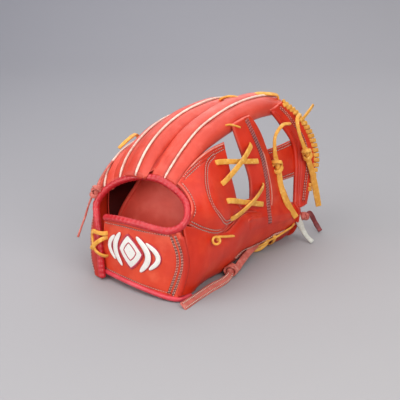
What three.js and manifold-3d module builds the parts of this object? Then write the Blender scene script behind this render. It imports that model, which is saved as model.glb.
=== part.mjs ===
// Left-hand baseball fielder's glove with a laced I-web, standing on its heel and its thumb.
// Millimetres, +Z up. The wrist is at -Y, the fingers point to +Y, the thumb lies along the ground on
// the +X side and the pocket opens to -X. Points are given from the heel corner by the thumb, which is
// STAND away from the origin: the middle of the glove's box, on the ground.
import * as THREE from "three";
import { mergeVertices } from "three/addons/utils/BufferGeometryUtils.js";
import Module from "manifold-3d";

const wasm = await Module();
wasm.setup();

// ---------- driving dimensions ----------
const GAP = 0.35; // clearance between pieces that lie against each other
const LEATHER = 2.6; // one outer panel
const DIGIT_WALL = 3.2; // back of a finger with its padding
const PAD_WALL = 4.2; // palm side of a finger with its padding
const LAYER_GAP = 0.9; // clearance between curved layers
const FELT = 4; // wool felt in the palm
const LINING = 1.8; // soft inner leather
const STRAP_LINING = 2.9; // padded, behind the wrist strap
const LACE = { width: 5.5, thick: 2.2 }; // rawhide lace
const LACE_ROOM = 1.5; // a lace turns sharply, so it gets more room in its holes
const LACE_LIFT = 0.4; // a lace lies this far off the leather
const WHIP_LIFT = 0.5;
const THIN_LACE = 4;
const EDGE_LACE = 3.6;
const STRAP_LACE = { width: 4.5, room: 2 };
const FLOOR_LACE = 7;
const WHIP = { v: [0.2, 0.98], turns: 16, reach: 8, thickness: 5, perTurn: 6, width: 4.2, room: 1.2 };
const WELT = { angle: 2.8, anglePerMm: 2, lift: 0.4, height: 1.3 }; // cord in a seam; angles in degrees
const SEAM_GAP = 0.6; // degrees left free on each side of a seam
const DEGREES_PER_MM = 3.5; // along a digit's section
const OPENING_ROLL = 7.5; // leather rolled round the wrist opening
const STRAP_ROLL = 6;
const HEEL_ROLL = { width: 12, thick: 6 };
const PATCH = { middle: [-66, 37], half: [28, 19], low: -0.6, high: 0.9 }; // embroidery on the strap
const WEB_BAR = 5; // both leathers of a bar of the web
const CENTRE = { low: -8.6, high: -5.4 }; // the bar in the middle lies behind the other two
const SMOOTHING = 0.06; // flattens what cutting leaves under this size
const GROUND = -5; // level of the ground below the heel corner
const THUMB_HINGE = [-38, 58]; // the upright line that the thumb turns about
const THUMB_RANGE = 15; // degrees
const THUMB_STEP = 2.5;
const THUMB_ROOM = 1.2; // clearance over the turning thumb
const MOVING = ["thumb_back", "thumb_front", "thumb_tip_knot"];
const STEP_PER_WIDTH = 2.5; // a free lace's rings stand this many widths apart
const STAND = [78.66, -120.69, 5]; // from the heel corner to the origin, reversed

const V = (x, y, z) => new THREE.Vector3(x, y, z);
const curve = (points) => new THREE.CatmullRomCurve3(points.map((p) => V(...p)));

// A list of numbers read as a smooth function of t; a little past either end it runs straight on.
function along(values, t) {
  const n = values.length - 1;
  const i = Math.max(0, Math.min(n - 1, Math.floor(t * n)));
  const f = t * n - i;
  const b = values[i];
  const c = values[i + 1];
  const a = i > 0 ? values[i - 1] : 2 * b - c;
  const d = i + 2 <= n ? values[i + 2] : 2 * c - b;
  if (f < 0) return b + (f * (c - a)) / 2;
  if (f > 1) return c + ((f - 1) * (d - b)) / 2;
  return b + 0.5 * f * (c - a + f * (2 * a - 5 * b + 4 * c - d + f * (3 * (b - c) + d - a)));
}

const alongPoints = (points, t) => V(...[0, 1, 2].map((k) => along(points.map((p) => p[k]), t)));
const radians = THREE.MathUtils.degToRad;

// ---------- solids ----------
function solid(points, index) {
  const geometry = new THREE.BufferGeometry().setFromPoints(points);
  geometry.setIndex(index);
  return solidOf(geometry);
}

// A closed three.js geometry as a solid with its faces pointing out.
function solidOf(geometry) {
  geometry.deleteAttribute("normal");
  geometry.deleteAttribute("uv");
  const merged = mergeVertices(geometry, 1e-4);
  const vertProperties = new Float32Array(merged.attributes.position.array);
  const corners = [];
  const index = merged.index.array;
  for (let i = 0; i < index.length; i += 3) {
    const [a, b, c] = [index[i], index[i + 1], index[i + 2]];
    if (a !== b && b !== c && c !== a) corners.push(a, b, c);
  }
  const made = manifold(vertProperties, corners);
  if (made.volume() >= 0) return made;
  return manifold(vertProperties, corners.reverse());
}

function manifold(vertProperties, corners) {
  const triVerts = new Uint32Array(corners);
  return new wasm.Manifold(new wasm.Mesh({ numProp: 3, vertProperties, triVerts }));
}

function geometryOf(body) {
  const mesh = body.getMesh();
  const geometry = new THREE.BufferGeometry();
  const position = new Float32Array(mesh.numVert * 3);
  for (let i = 0; i < mesh.numVert; i++)
    for (let k = 0; k < 3; k++) position[i * 3 + k] = mesh.vertProperties[i * mesh.numProp + k];
  geometry.setAttribute("position", new THREE.BufferAttribute(position, 3));
  geometry.setIndex(new THREE.BufferAttribute(new Uint32Array(mesh.triVerts), 1));
  return geometry;
}

// The solid between two grids of points of one size, closed along all four edges.
function slab(outer, inner) {
  const rows = outer.length;
  const cols = outer[0].length;
  const index = [];
  const quad = (a, b, c, d) => index.push(a, b, c, a, c, d);
  const at = (side, i, j) => side * rows * cols + i * cols + j;
  for (let i = 0; i < rows - 1; i++)
    for (let j = 0; j < cols - 1; j++) {
      quad(at(0, i, j), at(0, i, j + 1), at(0, i + 1, j + 1), at(0, i + 1, j));
      quad(at(1, i, j), at(1, i + 1, j), at(1, i + 1, j + 1), at(1, i, j + 1));
    }
  for (let j = 0; j < cols - 1; j++) {
    quad(at(0, 0, j + 1), at(0, 0, j), at(1, 0, j), at(1, 0, j + 1));
    quad(at(0, rows - 1, j), at(0, rows - 1, j + 1), at(1, rows - 1, j + 1), at(1, rows - 1, j));
  }
  for (let i = 0; i < rows - 1; i++) {
    quad(at(0, i, 0), at(0, i + 1, 0), at(1, i + 1, 0), at(1, i, 0));
    quad(at(0, i + 1, cols - 1), at(0, i, cols - 1), at(1, i, cols - 1), at(1, i + 1, cols - 1));
  }
  return solid([...outer.flat(), ...inner.flat()], index);
}

// The solid skinned over closed rings, with a fan over each end.
function loft(rings) {
  const m = rings[0].length;
  const centre = (ring) => ring.reduce((sum, p) => sum.add(p), V(0, 0, 0)).divideScalar(m);
  const index = [];
  for (let i = 0; i < rings.length - 1; i++)
    for (let j = 0; j < m; j++) {
      const a = i * m + j;
      const b = i * m + ((j + 1) % m);
      index.push(a, b, b + m, a, b + m, a + m);
    }
  const first = rings.length * m;
  const top = first - m;
  for (let j = 0; j < m; j++) {
    const k = (j + 1) % m;
    index.push(first, k, j, first + 1, top + j, top + k);
  }
  return solid([...rings.flat(), centre(rings[0]), centre(rings.at(-1))], index);
}

// ---------- leather sheets ----------
const sheetPoint = (rows, s, t) => alongPoints(rows.map((row) => alongPoints(row, s).toArray()), t);

function sheetNormal(rows, s, t, flip = 1) {
  const step = 0.01;
  const across = sheetPoint(rows, s + step, t).sub(sheetPoint(rows, s - step, t));
  const up = sheetPoint(rows, s, t + step).sub(sheetPoint(rows, s, t - step));
  return across.cross(up).normalize().multiplyScalar(flip);
}

// A panel through a grid of points, rows from bottom to top. It lies between the offsets low and high
// (mm along the normal, + on the outer side), and grows by the same amount on every side.
function sheet(rows, { low = -LEATHER, high = 0, across, up, u = [0, 1], v = [0, 1], flip = 1 }, grow) {
  const span = (a, b) => sheetPoint(rows, ...a).distanceTo(sheetPoint(rows, ...b));
  const du = (grow * (u[1] - u[0])) / (span([u[0], 0.5], [0.5, 0.5]) + span([0.5, 0.5], [u[1], 0.5]));
  const dv = (grow * (v[1] - v[0])) / (span([0.5, v[0]], [0.5, 0.5]) + span([0.5, 0.5], [0.5, v[1]]));
  const grid = (offset) =>
    Array.from({ length: up + 1 }, (_, i) => {
      const t = THREE.MathUtils.lerp(v[0] - dv, v[1] + dv, i / up);
      return Array.from({ length: across + 1 }, (_, j) => {
        const s = THREE.MathUtils.lerp(u[0] - du, u[1] + du, j / across);
        return sheetPoint(rows, s, t).addScaledVector(sheetNormal(rows, s, t, flip), offset);
      });
    });
  return slab(grid(high + grow), grid(low - grow));
}

// ---------- flat and round strips ----------
// A strip swept along points. facing is the direction of its thickness at the start, and turns with the
// path from there without twisting.
function strip(points, { facing, width, thick, steps, sides = 4, power = 2 }, grow) {
  const path = curve(points.map((p) => (Array.isArray(p) ? p : p.toArray())));
  const out = V(...facing);
  const outline = section(sides, width / 2 + grow, thick / 2 + grow, power);
  const rings = Array.from({ length: steps + 1 }, (_, i) => {
    const p = path.getPointAt(i / steps);
    const ahead = path.getTangentAt(i / steps);
    if (i === 0) p.addScaledVector(ahead, -grow);
    if (i === steps) p.addScaledVector(ahead, grow);
    out.addScaledVector(ahead, -out.dot(ahead)).normalize();
    const side = ahead.clone().cross(out);
    return outline.map(([x, y]) => p.clone().addScaledVector(side, x).addScaledVector(out, y));
  });
  return loft(rings);
}

// A rectangle (4 sides) or a rounded one, with half sizes a and b.
function section(sides, a, b, power) {
  if (sides === 4) return [[a, -b], [a, b], [-a, b], [-a, -b]];
  return Array.from({ length: sides }, (_, j) => rounded((2 * Math.PI * (j + 0.5)) / sides, a, b, power));
}

function rounded(q, a, b, power) {
  const c = Math.cos(q);
  const s = Math.sin(q);
  return [a * Math.sign(c) * Math.abs(c) ** (2 / power), b * Math.sign(s) * Math.abs(s) ** (2 / power)];
}

// ---------- digits ----------
// ridge is the middle of the back. back and front are the depths of the two halves of the section, and
// nearSeam is the angle (degrees) at which the back panel ends on the thumb side.
const DIGITS = {
  index: {
    up: [0.25, -0.3, 0.92],
    ridge: [
      [-52, 25, 108.5], [-54, 54, 130], [-57, 86, 146], [-58, 118, 155],
      [-59, 152, 160], [-61, 198, 159], [-62, 240, 150],
    ],
    halfWidth: [17, 19, 19.5, 19.5, 19.5, 19, 17],
    back: [5, 9, 11, 11.5, 11.5, 11, 9],
    front: [9, 11, 12, 12, 12, 11, 9],
    nearSeam: [0, -5, -30, -50, -50, -50, -50],
    frontFrom: 0.42,
  },
  middle: {
    up: [0.03, -0.3, 0.95],
    ridge: [
      [-84, 16, 108.5], [-88, 38, 128], [-92, 64, 141.5], [-95, 98, 152],
      [-97, 134, 156.5], [-99, 168, 156], [-100, 208, 147],
    ],
    halfWidth: [14.5, 16, 17, 17.5, 17.5, 17, 15.5],
    back: [5, 8, 10, 11, 11, 10.5, 9],
    front: [9, 11, 12, 12, 12, 11, 9],
    nearSeam: [0, 0, 0, 0, 0, 0, 0],
    frontFrom: 0.42,
  },
  ring: {
    up: [-0.28, -0.3, 0.91],
    ridge: [
      [-108, 17, 99], [-115, 36, 114], [-121, 62, 127], [-126, 92, 136],
      [-129, 122, 140], [-130, 150, 138], [-130, 184, 128],
    ],
    halfWidth: [11.5, 14, 16, 16.5, 16.5, 16, 14.5],
    back: [5, 8, 10, 10.5, 10.5, 10, 8.5],
    front: [8, 10, 11, 11, 11, 10, 9],
    nearSeam: [0, 0, 0, 0, 0, 0, 0],
    frontFrom: 0.42,
  },
  pinky: {
    up: [-0.55, -0.3, 0.78],
    ridge: [
      [-123, 9, 86], [-134, 26, 98], [-142, 48, 107], [-149, 74, 112],
      [-153, 100, 113], [-155, 126, 108], [-155, 156, 97],
    ],
    halfWidth: [10, 13, 15.5, 16.5, 16.5, 16, 14],
    back: [5, 8, 10, 10.5, 10.5, 10, 8.5],
    front: [8, 10, 11, 11, 11, 10, 9],
    nearSeam: [0, 0, 0, 0, 0, 0, 0],
    frontFrom: 0.42,
  },
  thumb: {
    up: [0.94, 0, -0.33],
    ridge: [
      [-3, 55, 18], [-6, 84, 20], [-11, 112, 22.5], [-14, 140, 19],
      [-14, 168, 16], [-14, 196, 13.5], [-17, 230, 18],
    ],
    halfWidth: [27.5, 30, 32, 28, 25.5, 23, 15],
    back: [10, 11, 12, 12, 12, 11, 10],
    front: [25, 20, 16, 13, 12, 12, 11],
    nearSeam: [0, 0, 0, 0, 0, 0, 0],
    frontFrom: 0,
  },
};
const DIGIT_POWER = 2.3; // 2 would make the section an ellipse
const BODY_STEPS = 8;
const CAP_STEPS = 4;
const CAP_LENGTH = 20; // the domed tip
const BACK_SEGMENTS = 8;
const FRONT_SEGMENTS = 6;

// Rings of a digit's surface from angle from(t) to to(t), set in by inset, starting at start.
function digitRings(digit, from, to, segments, inset, start) {
  const path = curve(digit.ridge);
  const length = path.getLength();
  const end = length - inset;
  const capStart = length - CAP_LENGTH;
  const places = [];
  for (let i = 0; i < BODY_STEPS; i++)
    places.push(THREE.MathUtils.lerp(start * length, capStart, i / BODY_STEPS));
  for (let i = 0; i <= CAP_STEPS; i++)
    places.push(capStart + (end - capStart) * Math.sin((i / CAP_STEPS) * (Math.PI / 2)));
  return places.map((place) => {
    const t = Math.min(1, place / length);
    const cap = Math.max(0, (place - capStart) / (end - capStart));
    const shrink = place >= end - 1e-9 ? 0 : Math.sqrt(1 - Math.min(1, cap) ** 2);
    const p = path.getPointAt(t);
    const ahead = path.getTangentAt(t);
    const side = ahead.clone().cross(V(...digit.up)).normalize();
    const out = side.clone().cross(ahead).normalize();
    const back = along(digit.back, t);
    const front = along(digit.front, t);
    const half = along(digit.halfWidth, t);
    const q0 = radians(from(t));
    const q1 = radians(to(t));
    return Array.from({ length: segments + 1 }, (_, j) => {
      const q = THREE.MathUtils.lerp(q0, q1, j / segments);
      const depth = Math.sin(q) >= 0 ? back : front;
      const [x, y] = rounded(q, (half - inset) * shrink, (depth - inset) * shrink, DIGIT_POWER);
      return p.clone().addScaledVector(side, x).addScaledVector(out, y - back);
    });
  });
}

function digitPanel(digit, from, to, segments, wall, start, grow) {
  const wider = grow * DEGREES_PER_MM;
  const first = (t) => from(t) - wider;
  const last = (t) => to(t) + wider;
  const outer = digitRings(digit, first, last, segments, -grow, start);
  const inner = digitRings(digit, first, last, segments, wall + grow, start);
  return slab(outer, inner);
}

const nearSeam = (digit) => (t) => along(digit.nearSeam, t);

function digitBack(digit, grow) {
  const from = (t) => nearSeam(digit)(t) + SEAM_GAP;
  return digitPanel(digit, from, () => 180 - SEAM_GAP, BACK_SEGMENTS, DIGIT_WALL, 0, grow);
}

function digitFront(digit, grow) {
  const from = () => 180 + SEAM_GAP;
  const to = (t) => 360 + nearSeam(digit)(t) - SEAM_GAP;
  return digitPanel(digit, from, to, FRONT_SEGMENTS, PAD_WALL, digit.frontFrom, grow);
}

// ---------- panels of the hand ----------
const STRAP = [
  [[-110, -9, 1], [-75, -13, 2], [-40, -13, 2], [-9, -6, 2]],
  [[-107, -11, 33], [-75, -15, 35], [-38, -14, 36], [1, -3, 36]],
  [[-105, -10, 62], [-79, -13, 66], [-48, -13, 68], [-6, -4, 69]],
];
const THUMB_HEEL = [
  [[-8, -4, -1], [-6, 14, -3], [-15, 36, -4.5], [-23, 53, -5]],
  [[2, -1, 36], [7, 16, 31], [4, 36, 24], [-4, 54, 19]],
  [[-6, 2, 76], [-2, 22, 67], [0, 42, 56], [-3, 54, 49]],
];
const CROTCH = [
  [[-5, 6, 76], [-1, 25, 62.5], [0, 48, 52], [-7, 80, 55], [-15, 110, 62]],
  [[-4, 13, 89], [3, 38, 78], [-1, 64, 70], [-9, 88, 67], [-17, 105, 65]],
  [[-14, 20, 98], [-5, 44, 94], [-10, 68, 90], [-16, 89, 88], [-22, 103, 86]],
  [[-24, 23, 104], [-19, 46, 107], [-22, 70, 108], [-25, 89, 107], [-28, 103, 106]],
  [[-33, 24, 108], [-34, 42, 119], [-36, 62, 125], [-38, 84, 127], [-38, 107, 126]],
];
const PINKY_TAB = [
  [[-118, -13.5, -5], [-112, -15, -5], [-106, -16, -5]],
  [[-129, -8, 11], [-119, -12, 12], [-109, -14, 14]],
  [[-132, -4, 38], [-122, -9, 38], [-113, -11, 38]],
  [[-128, -1.5, 64], [-124, -4, 60], [-118, -7, 56]],
];
const PINKY_SIDE = [
  [[-118.5, -12, -5], [-125, 6, -5], [-127, 30, -5]],
  [[-131.5, -5, 30], [-139, 12, 30], [-141, 36, 28]],
  [[-129, -1, 62], [-145, 17, 61], [-152, 44, 56]],
  [[-124, 5, 80], [-145, 26, 84], [-158, 57, 70]],
];
const PALM = [
  [[-128, 31, -5], [-105, 42, -5], [-75, 46, -5], [-40, 47, -5]],
  [[-141, 37, 26], [-110, 47, 24], [-75, 51, 22], [-40, 51, 22]],
  [[-152, 45, 55], [-115, 54, 55], [-75, 58, 54], [-40, 60, 52]],
  [[-159, 60, 68], [-122, 66, 83], [-79, 72, 90], [-38, 80, 86]],
  [[-163, 74, 74], [-131, 87, 104], [-84, 92, 117], [-36, 98, 112]],
];
const CROTCH_PALM = [
  [[-39.5, 60, 50.5], [-33, 76, 50.5], [-26, 90, 50.5], [-18, 104, 50.5]],
  [[-38.5, 72, 70], [-33, 82, 70], [-27, 92, 70], [-21, 101, 70]],
  [[-37.5, 84, 92], [-33, 90, 92], [-30, 96, 92], [-26, 101, 92]],
  [[-36, 97, 112], [-34.5, 98.5, 112], [-33, 100, 112], [-32, 101.5, 112]],
];
const BASE_BAR = [
  [[-19, 130, 44], [-15, 160, 43], [-19, 204, 40]],
  [[-21, 132, 60], [-16, 158, 60], [-22, 197, 60]],
  [[-25, 135, 84], [-20, 158, 85], [-26, 183, 84]],
  [[-31, 129, 112], [-26, 153, 113], [-32, 173, 112]],
  [[-39, 121, 142], [-38, 142, 146], [-40, 164, 146]],
];
const TOP_BAR = [
  [[-20, 214, 29], [-16, 224, 29], [-17, 235, 29]],
  [[-25, 221, 50], [-20, 233, 50], [-19, 245, 51]],
  [[-30, 227, 78], [-24, 242, 78], [-21, 257, 78]],
  [[-34, 226, 104], [-30, 240, 105], [-28, 254, 107]],
  [[-39, 209, 129], [-38, 225, 131], [-38, 241, 132]],
  [[-43, 195, 147], [-45, 208, 149], [-47, 221, 151]],
];
const CENTRE_BAR = [
  [[-27, 168, 66], [-24, 200, 65], [-24, 232, 64]],
  [[-29, 168, 85], [-26, 200, 85], [-28, 236, 85]],
  [[-33, 168, 106], [-31, 200, 106], [-34, 234, 106]],
];

// ---------- putting the pieces together ----------
const model = new THREE.Group();
const glove = new THREE.Group();
glove.position.set(...STAND);
model.add(glove);
const placed = [];

const FINISHES = {
  shell: { color: 0xd9472f, roughness: 0.45 },
  shade: { color: 0xc23a26, roughness: 0.5 },
  binding: { color: 0xd8354f, roughness: 0.4 },
  lace: { color: 0xe3a23c, roughness: 0.6 },
  redLace: { color: 0xb84a3c, roughness: 0.6 },
  welt: { color: 0xf3e3d4, roughness: 0.6 },
  lining: { color: 0xcf3a24, roughness: 0.6 },
  felt: { color: 0xd9d2c4, roughness: 1 },
};

// Puts a piece on the glove. It is cut back, with clearance, round every piece put on before it. A piece
// that the closing thumb passes is also cut clear of the thumb at each step of its turn.
function place(name, finish, make, { passedByThumb = false } = {}) {
  let body = make(0);
  const cut = (room) => {
    if (touching(body, room)) body = body.subtract(room);
  };
  for (const other of placed) cut(other.room);
  for (const other of passedByThumb ? placed.filter((piece) => MOVING.includes(piece.name)) : []) {
    const roomy = other.make(THUMB_ROOM);
    for (let angle = 0; angle <= THUMB_RANGE; angle += THUMB_STEP) cut(turned(roomy, angle));
  }
  body = body.trimByPlane([0, 0, 1], GROUND).simplify(SMOOTHING);
  body = body.decompose().sort((a, b) => b.volume() - a.volume())[0];
  placed.push({ name, make, room: make(GAP + SMOOTHING) });
  const material = new THREE.MeshStandardMaterial({ ...FINISHES[finish], metalness: 0 });
  const mesh = new THREE.Mesh(geometryOf(body), material);
  mesh.name = name;
  glove.add(mesh);
}

function turned(body, angle) {
  const [x, y] = THUMB_HINGE;
  return body.translate([-x, -y, 0]).rotate([0, 0, angle]).translate([x, y, 0]);
}

function touching(a, b) {
  const p = a.boundingBox();
  const q = b.boundingBox();
  return [0, 1, 2].every((k) => p.min[k] < q.max[k] && q.min[k] < p.max[k]);
}

// ---------- lace routes ----------
const hole = (p, n) => ({ p: V(...p), n: V(...n).normalize() });

// A lace comes out of the first hole, crosses to the second, passes behind to the third and so on.
// lifts raises the middle of each run off the leather, and walls is the leather's thickness at each hole.
function laceRoute(holes, { lifts, walls }) {
  const turn = LACE.thick;
  const above = LACE.thick / 2 + LACE_LIFT;
  const first = holes[0];
  const last = holes.at(-1);
  const points = [first.p.clone().addScaledVector(first.n, -walls[0] - turn)];
  for (let i = 0; i < holes.length - 1; i++) {
    const front = i % 2 === 0;
    const ends = [holes[i], holes[i + 1]].map((h, k) =>
      h.p.clone().addScaledVector(h.n, front ? above : -walls[i + k] - above));
    const ahead = ends[1].clone().sub(ends[0]).normalize();
    const middle = ends[0].clone().lerp(ends[1], 0.5);
    middle.addScaledVector(holes[i].n.clone().add(holes[i + 1].n).normalize(), lifts[i]);
    points.push(holes[i].p.clone().addScaledVector(holes[i].n, -walls[i] / 2));
    ends[0].addScaledVector(ahead, turn);
    ends[1].addScaledVector(ahead, -turn);
    points.push(ends[0], middle, ends[1]);
  }
  points.push(last.p.clone().addScaledVector(last.n, -walls.at(-1) / 2));
  points.push(last.p.clone().addScaledVector(last.n, -walls.at(-1) - turn));
  return points;
}

// A lace wound round the outer edge of a panel, from row v[0] to row v[1].
function whipRoute(rows, { v, turns, reach, thickness, perTurn }) {
  return Array.from({ length: turns * perTurn + 1 }, (_, i) => {
    const t = THREE.MathUtils.lerp(v[0], v[1], i / (turns * perTurn));
    const edge = sheetPoint(rows, 1, t);
    const inward = sheetPoint(rows, 0.95, t).sub(edge).normalize();
    const normal = sheetNormal(rows, 1, t);
    const q = (2 * Math.PI * i) / perTurn + Math.PI / 2;
    edge.addScaledVector(normal, -thickness / 2).addScaledVector(inward, reach / 2 - LACE.thick);
    edge.addScaledVector(inward, -Math.cos(q) * (reach / 2 + LACE.thick / 2));
    return edge.addScaledVector(normal, Math.sin(q) * (thickness / 2 + LACE.thick / 2 + WHIP_LIFT));
  });
}

// A free lace: a flat tube with rounded edges, swept by three.js along its route.
function freeLace(points, width, grow) {
  const outline = section(8, LACE.thick / 2 + grow, width / 2 + grow, 2.5);
  const path = curve(points);
  const steps = Math.ceil(path.getLength() / (width * STEP_PER_WIDTH));
  const shape = new THREE.Shape(outline.map((p) => new THREE.Vector2(...p)));
  return solidOf(new THREE.ExtrudeGeometry(shape, { steps, extrudePath: path }));
}

function knot(at, size, grow) {
  const ball = new THREE.SphereGeometry(1, 10, 7); // a unit ball, scaled to the knot
  ball.scale(size[0] / 2 + grow, size[1] / 2 + grow, size[2] / 2 + grow).translate(...at);
  return solidOf(ball);
}

// ---------- laces and knots ----------
const lace = (name, points, facing, steps, { width = LACE.width, room = LACE_ROOM } = {}) =>
  place(name, "lace", (grow) => strip(points, { facing, width, thick: LACE.thick, steps }, room * grow));

lace("crotch_lace_upper", laceRoute([
  hole([-29.6, 80.8, 115.8], [0.8, 0.1, 0.59]), hole([-24.4, 147.6, 102.5], [0.95, -0.26, 0.16]),
  hole([-30.1, 141.9, 122], [0.94, -0.25, 0.24]), hole([-15.9, 74.8, 97.3], [0.85, 0.21, 0.48]),
], { lifts: [1, 0, 5], walls: [LEATHER, WEB_BAR, WEB_BAR, LEATHER] }), [0, -1, 0], 30);
lace("crotch_lace_lower", laceRoute([
  hole([-7.3, 72.6, 81.1], [0.87, 0.31, 0.37]), hole([-16.5, 146.9, 54.7], [0.99, -0.11, 0.08]),
  hole([-19, 150.4, 75.3], [0.98, -0.11, 0.19]), hole([-5.5, 77.3, 60.2], [0.96, 0.29, 0.02]),
], { lifts: [1, 0, 5], walls: [LEATHER, WEB_BAR, WEB_BAR, LEATHER] }), [0, -1, 0], 30);
lace("index_lace_base", laceRoute([
  hole([-43.5, 117, 146.5], [0.8, -0.1, 0.6]), hole([-38.5, 131.5, 141], [0.96, -0.12, 0.27]),
], { lifts: [0.5], walls: [DIGIT_WALL, WEB_BAR] }), [0, 0, 1], 12);
lace("fingertip_lace", laceRoute([
  hole([-93, 167, 155.5], [0.25, 0.1, 0.96]), hole([-68, 171, 159.5], [-0.2, 0, 0.98]),
], { lifts: [1.5], walls: [DIGIT_WALL, DIGIT_WALL] }), [1, 0, 0], 12);
lace("index_tip_lace", laceRoute([
  hole([-68, 196, 158.8], [-0.1, 0.1, 0.99]), hole([-54, 224, 154], [0.3, 0.2, 0.93]),
], { lifts: [1.5], walls: [DIGIT_WALL, DIGIT_WALL] }), [0, -1, 0], 14);
lace("rim_lace", whipRoute(TOP_BAR, WHIP), [0, 0, 1], WHIP.turns * WHIP.perTurn, WHIP);
const STRAP_RUNS = { lifts: [6, 0, 6, 0, 6.5], walls: Array(6).fill(LEATHER) };
lace("strap_lace", laceRoute([
  hole([-121.5, -8, 49], [-0.4, -0.92, 0]), hole([-101.5, -10.6, 52], [-0.15, -0.99, 0.06]),
  hole([-101.5, -10.8, 44], [-0.15, -0.99, 0.06]), hole([-118, -10.3, 33], [-0.35, -0.93, 0]),
  hole([-116, -11.6, 25], [-0.35, -0.93, 0]), hole([-100.5, -11.4, 21], [-0.13, -0.99, -0.04]),
], STRAP_RUNS), [0, 0, 1], 42, STRAP_LACE);
lace("heel_loop_lace", [
  [-6, 41, 50], [1, 43, 50], [4, 46, 54.5], [3.5, 52, 54], [3, 56, 50], [2.5, 66, 47.5], [1, 79, 44.5],
], [0, 0, 1], 16, { width: THIN_LACE });

lace("thumb_edge_lace", [
  [-24.5, 124, 3.5], [-19.4, 130, 3.8], [-19.5, 142.7, 3.7], [-18.4, 152.9, 4.9], [-16.4, 163, 7.2],
  [-15.4, 173.2, 8], [-13.9, 182, 10.1], [-13, 191, 11.9], [-12.8, 198.8, 13.2], [-15.5, 206, 14],
], [0.86, -0.05, -0.51], 18, { width: EDGE_LACE, room: 1 });

const tail = (name, points, width = 5, finish = "lace") =>
  place(name, finish, (grow) => freeLace(points, width, grow));
const tied = (name, at, size, finish = "lace") => place(name, finish, (grow) => knot(at, size, grow));

tail("rim_tail_upper", [
  [-41, 221, 125.5], [-34, 219, 127], [-31, 201, 130],
  [-28.5, 184, 121], [-26, 180.5, 105], [-25.3, 182.3, 94.5],
], THIN_LACE);
tied("rim_tail_knot", [-25, 183.8, 88.6], [8, 9, 9]);
tail("rim_tail", [[-22, 183, 83], [-20, 183.6, 66.2], [-15, 189.1, 44.4], [-10, 199.5, 26]]);
tail("outer_tail_upper", [
  [-40, 242, 124], [-33.5, 240, 120.5], [-30, 236.5, 110], [-28, 239.5, 100], [-25.5, 243, 92.5],
], THIN_LACE);
tail("outer_tail_stub", [
  [-34, 241, 125], [-35, 251, 129.5], [-36, 262, 134.5], [-37, 269, 138],
], THIN_LACE);
tied("outer_tail_knot", [-24.5, 244.6, 87.3], [8, 8, 8]);
tail("outer_tail", [[-23, 244.8, 82], [-20, 245.2, 67.7], [-15.5, 248.5, 46], [-12, 250.6, 24.8]]);
tail("thumb_edge_upper", [
  [-23, 152, 7.8], [-21, 138, 8], [-18, 118, 7.2], [-12, 99, 3.4], [-7.5, 88.5, 0.5],
], 5, "redLace");
tied("thumb_edge_knot", [-5.5, 80, -0.9], [11, 11, 7], "redLace");
tail("thumb_edge_tail", [
  [-3, 72, -2.6], [0.4, 60.8, -3], [1.5, 34.7, -3.6], [5.2, 6.3, -3.6], [8.1, -15.6, -3.6],
], FLOOR_LACE, "redLace");
tail("binding_strand", [
  [-129, 6.5, 89.5], [-131.5, 15, 95.5], [-135, 27, 101.5], [-138, 38, 105.5],
], THIN_LACE, "redLace");
tied("binding_knot", [-127, 2, 84], [10, 7, 8], "redLace");
tail("binding_tail", [
  [-131.5, 1, 79], [-136, -1, 68], [-138, -5, 55], [-138.5, -11, 44], [-138, -16.8, 35],
], 5, "redLace");
tail("pinky_tail", [[-150, 92, 117.5], [-146, 84, 124], [-142, 67.1, 122.5], [-145, 56, 115]]);
tied("thumb_tip_knot", [-14, 222.5, 19.2], [9, 9, 7], "redLace");
tail("thumb_tip_tail", [
  [-12, 228, 19.5], [-12, 233.6, 20.2], [-12, 240.2, 12], [-10, 244.2, 3.7], [-6, 244.5, -3.3],
], 5, "redLace");
tail("thumb_tip_thong", [
  [-12.5, 217, 19], [-11, 209.5, 17], [-10.5, 207, 9], [-9, 209, 1.5], [-3, 212.5, -3.5], [7, 210.5, -3.5],
], 6, "felt");

// ---------- opening ----------
const OPENING = [
  [-104.5, -15.5, -2], [-107.5, -14, 14], [-111, -11.5, 38], [-116.5, -8, 56], [-121.5, -4.5, 64],
  [-124.5, -1, 71], [-122, 3.5, 80], [-115, 10, 89.5], [-103, 17, 97.5], [-84, 22, 104], [-62, 25, 106],
  [-45, 25, 103], [-26, 22, 97], [-12, 15, 90], [-6, 7, 81], [-8, -1, 73.5], [-18, -6.5, 69],
  [-34, -11, 69], [-51, -13.5, 70], [-79, -14, 68.5], [-101, -11.5, 64.5],
];
const STRAP_EDGE = [
  [-103, -10.5, 3.5], [-75, -14, 5], [-40, -14, 5.5], [-13, -8.5, 4], [-4, -2, 2.5], [-2, 9, 0.5],
];
const HEEL_EDGE = [[-123, 27.5, -2], [-105, 38, -2], [-75, 42, -2], [-43, 42.5, -2]];

const roll = (name, points, { width, thick = width }, facing, steps, sides) =>
  place(name, "binding", (grow) => strip(points, { facing, width, thick, steps, sides }, grow));

roll("opening_binding", OPENING, { width: OPENING_ROLL }, [0, -1, 0], 38, 8);
roll("strap_binding", STRAP_EDGE, { width: STRAP_ROLL }, [0, -1, 0], 22, 8);
roll("heel_binding", HEEL_EDGE, HEEL_ROLL, [0, 0, 1], 12, 4);

// ---------- fingers and thumb ----------
function digitWelt(digit, angle, grow) {
  const half = WELT.angle + grow * WELT.anglePerMm;
  const surface = (lift) => digitRings(digit, () => angle - half, () => angle + half, 1, -lift, 0);
  return slab(surface(WELT.lift + WELT.height + grow), surface(WELT.lift - grow));
}
for (const [name, digit] of Object.entries(DIGITS)) {
  place(name + "_back", "shell", (grow) => digitBack(digit, grow));
  place(name + "_front", "shade", (grow) => digitFront(digit, grow));
  if (name !== "thumb") place(name + "_welt", "welt", (grow) => digitWelt(digit, 90, grow));
}

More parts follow.
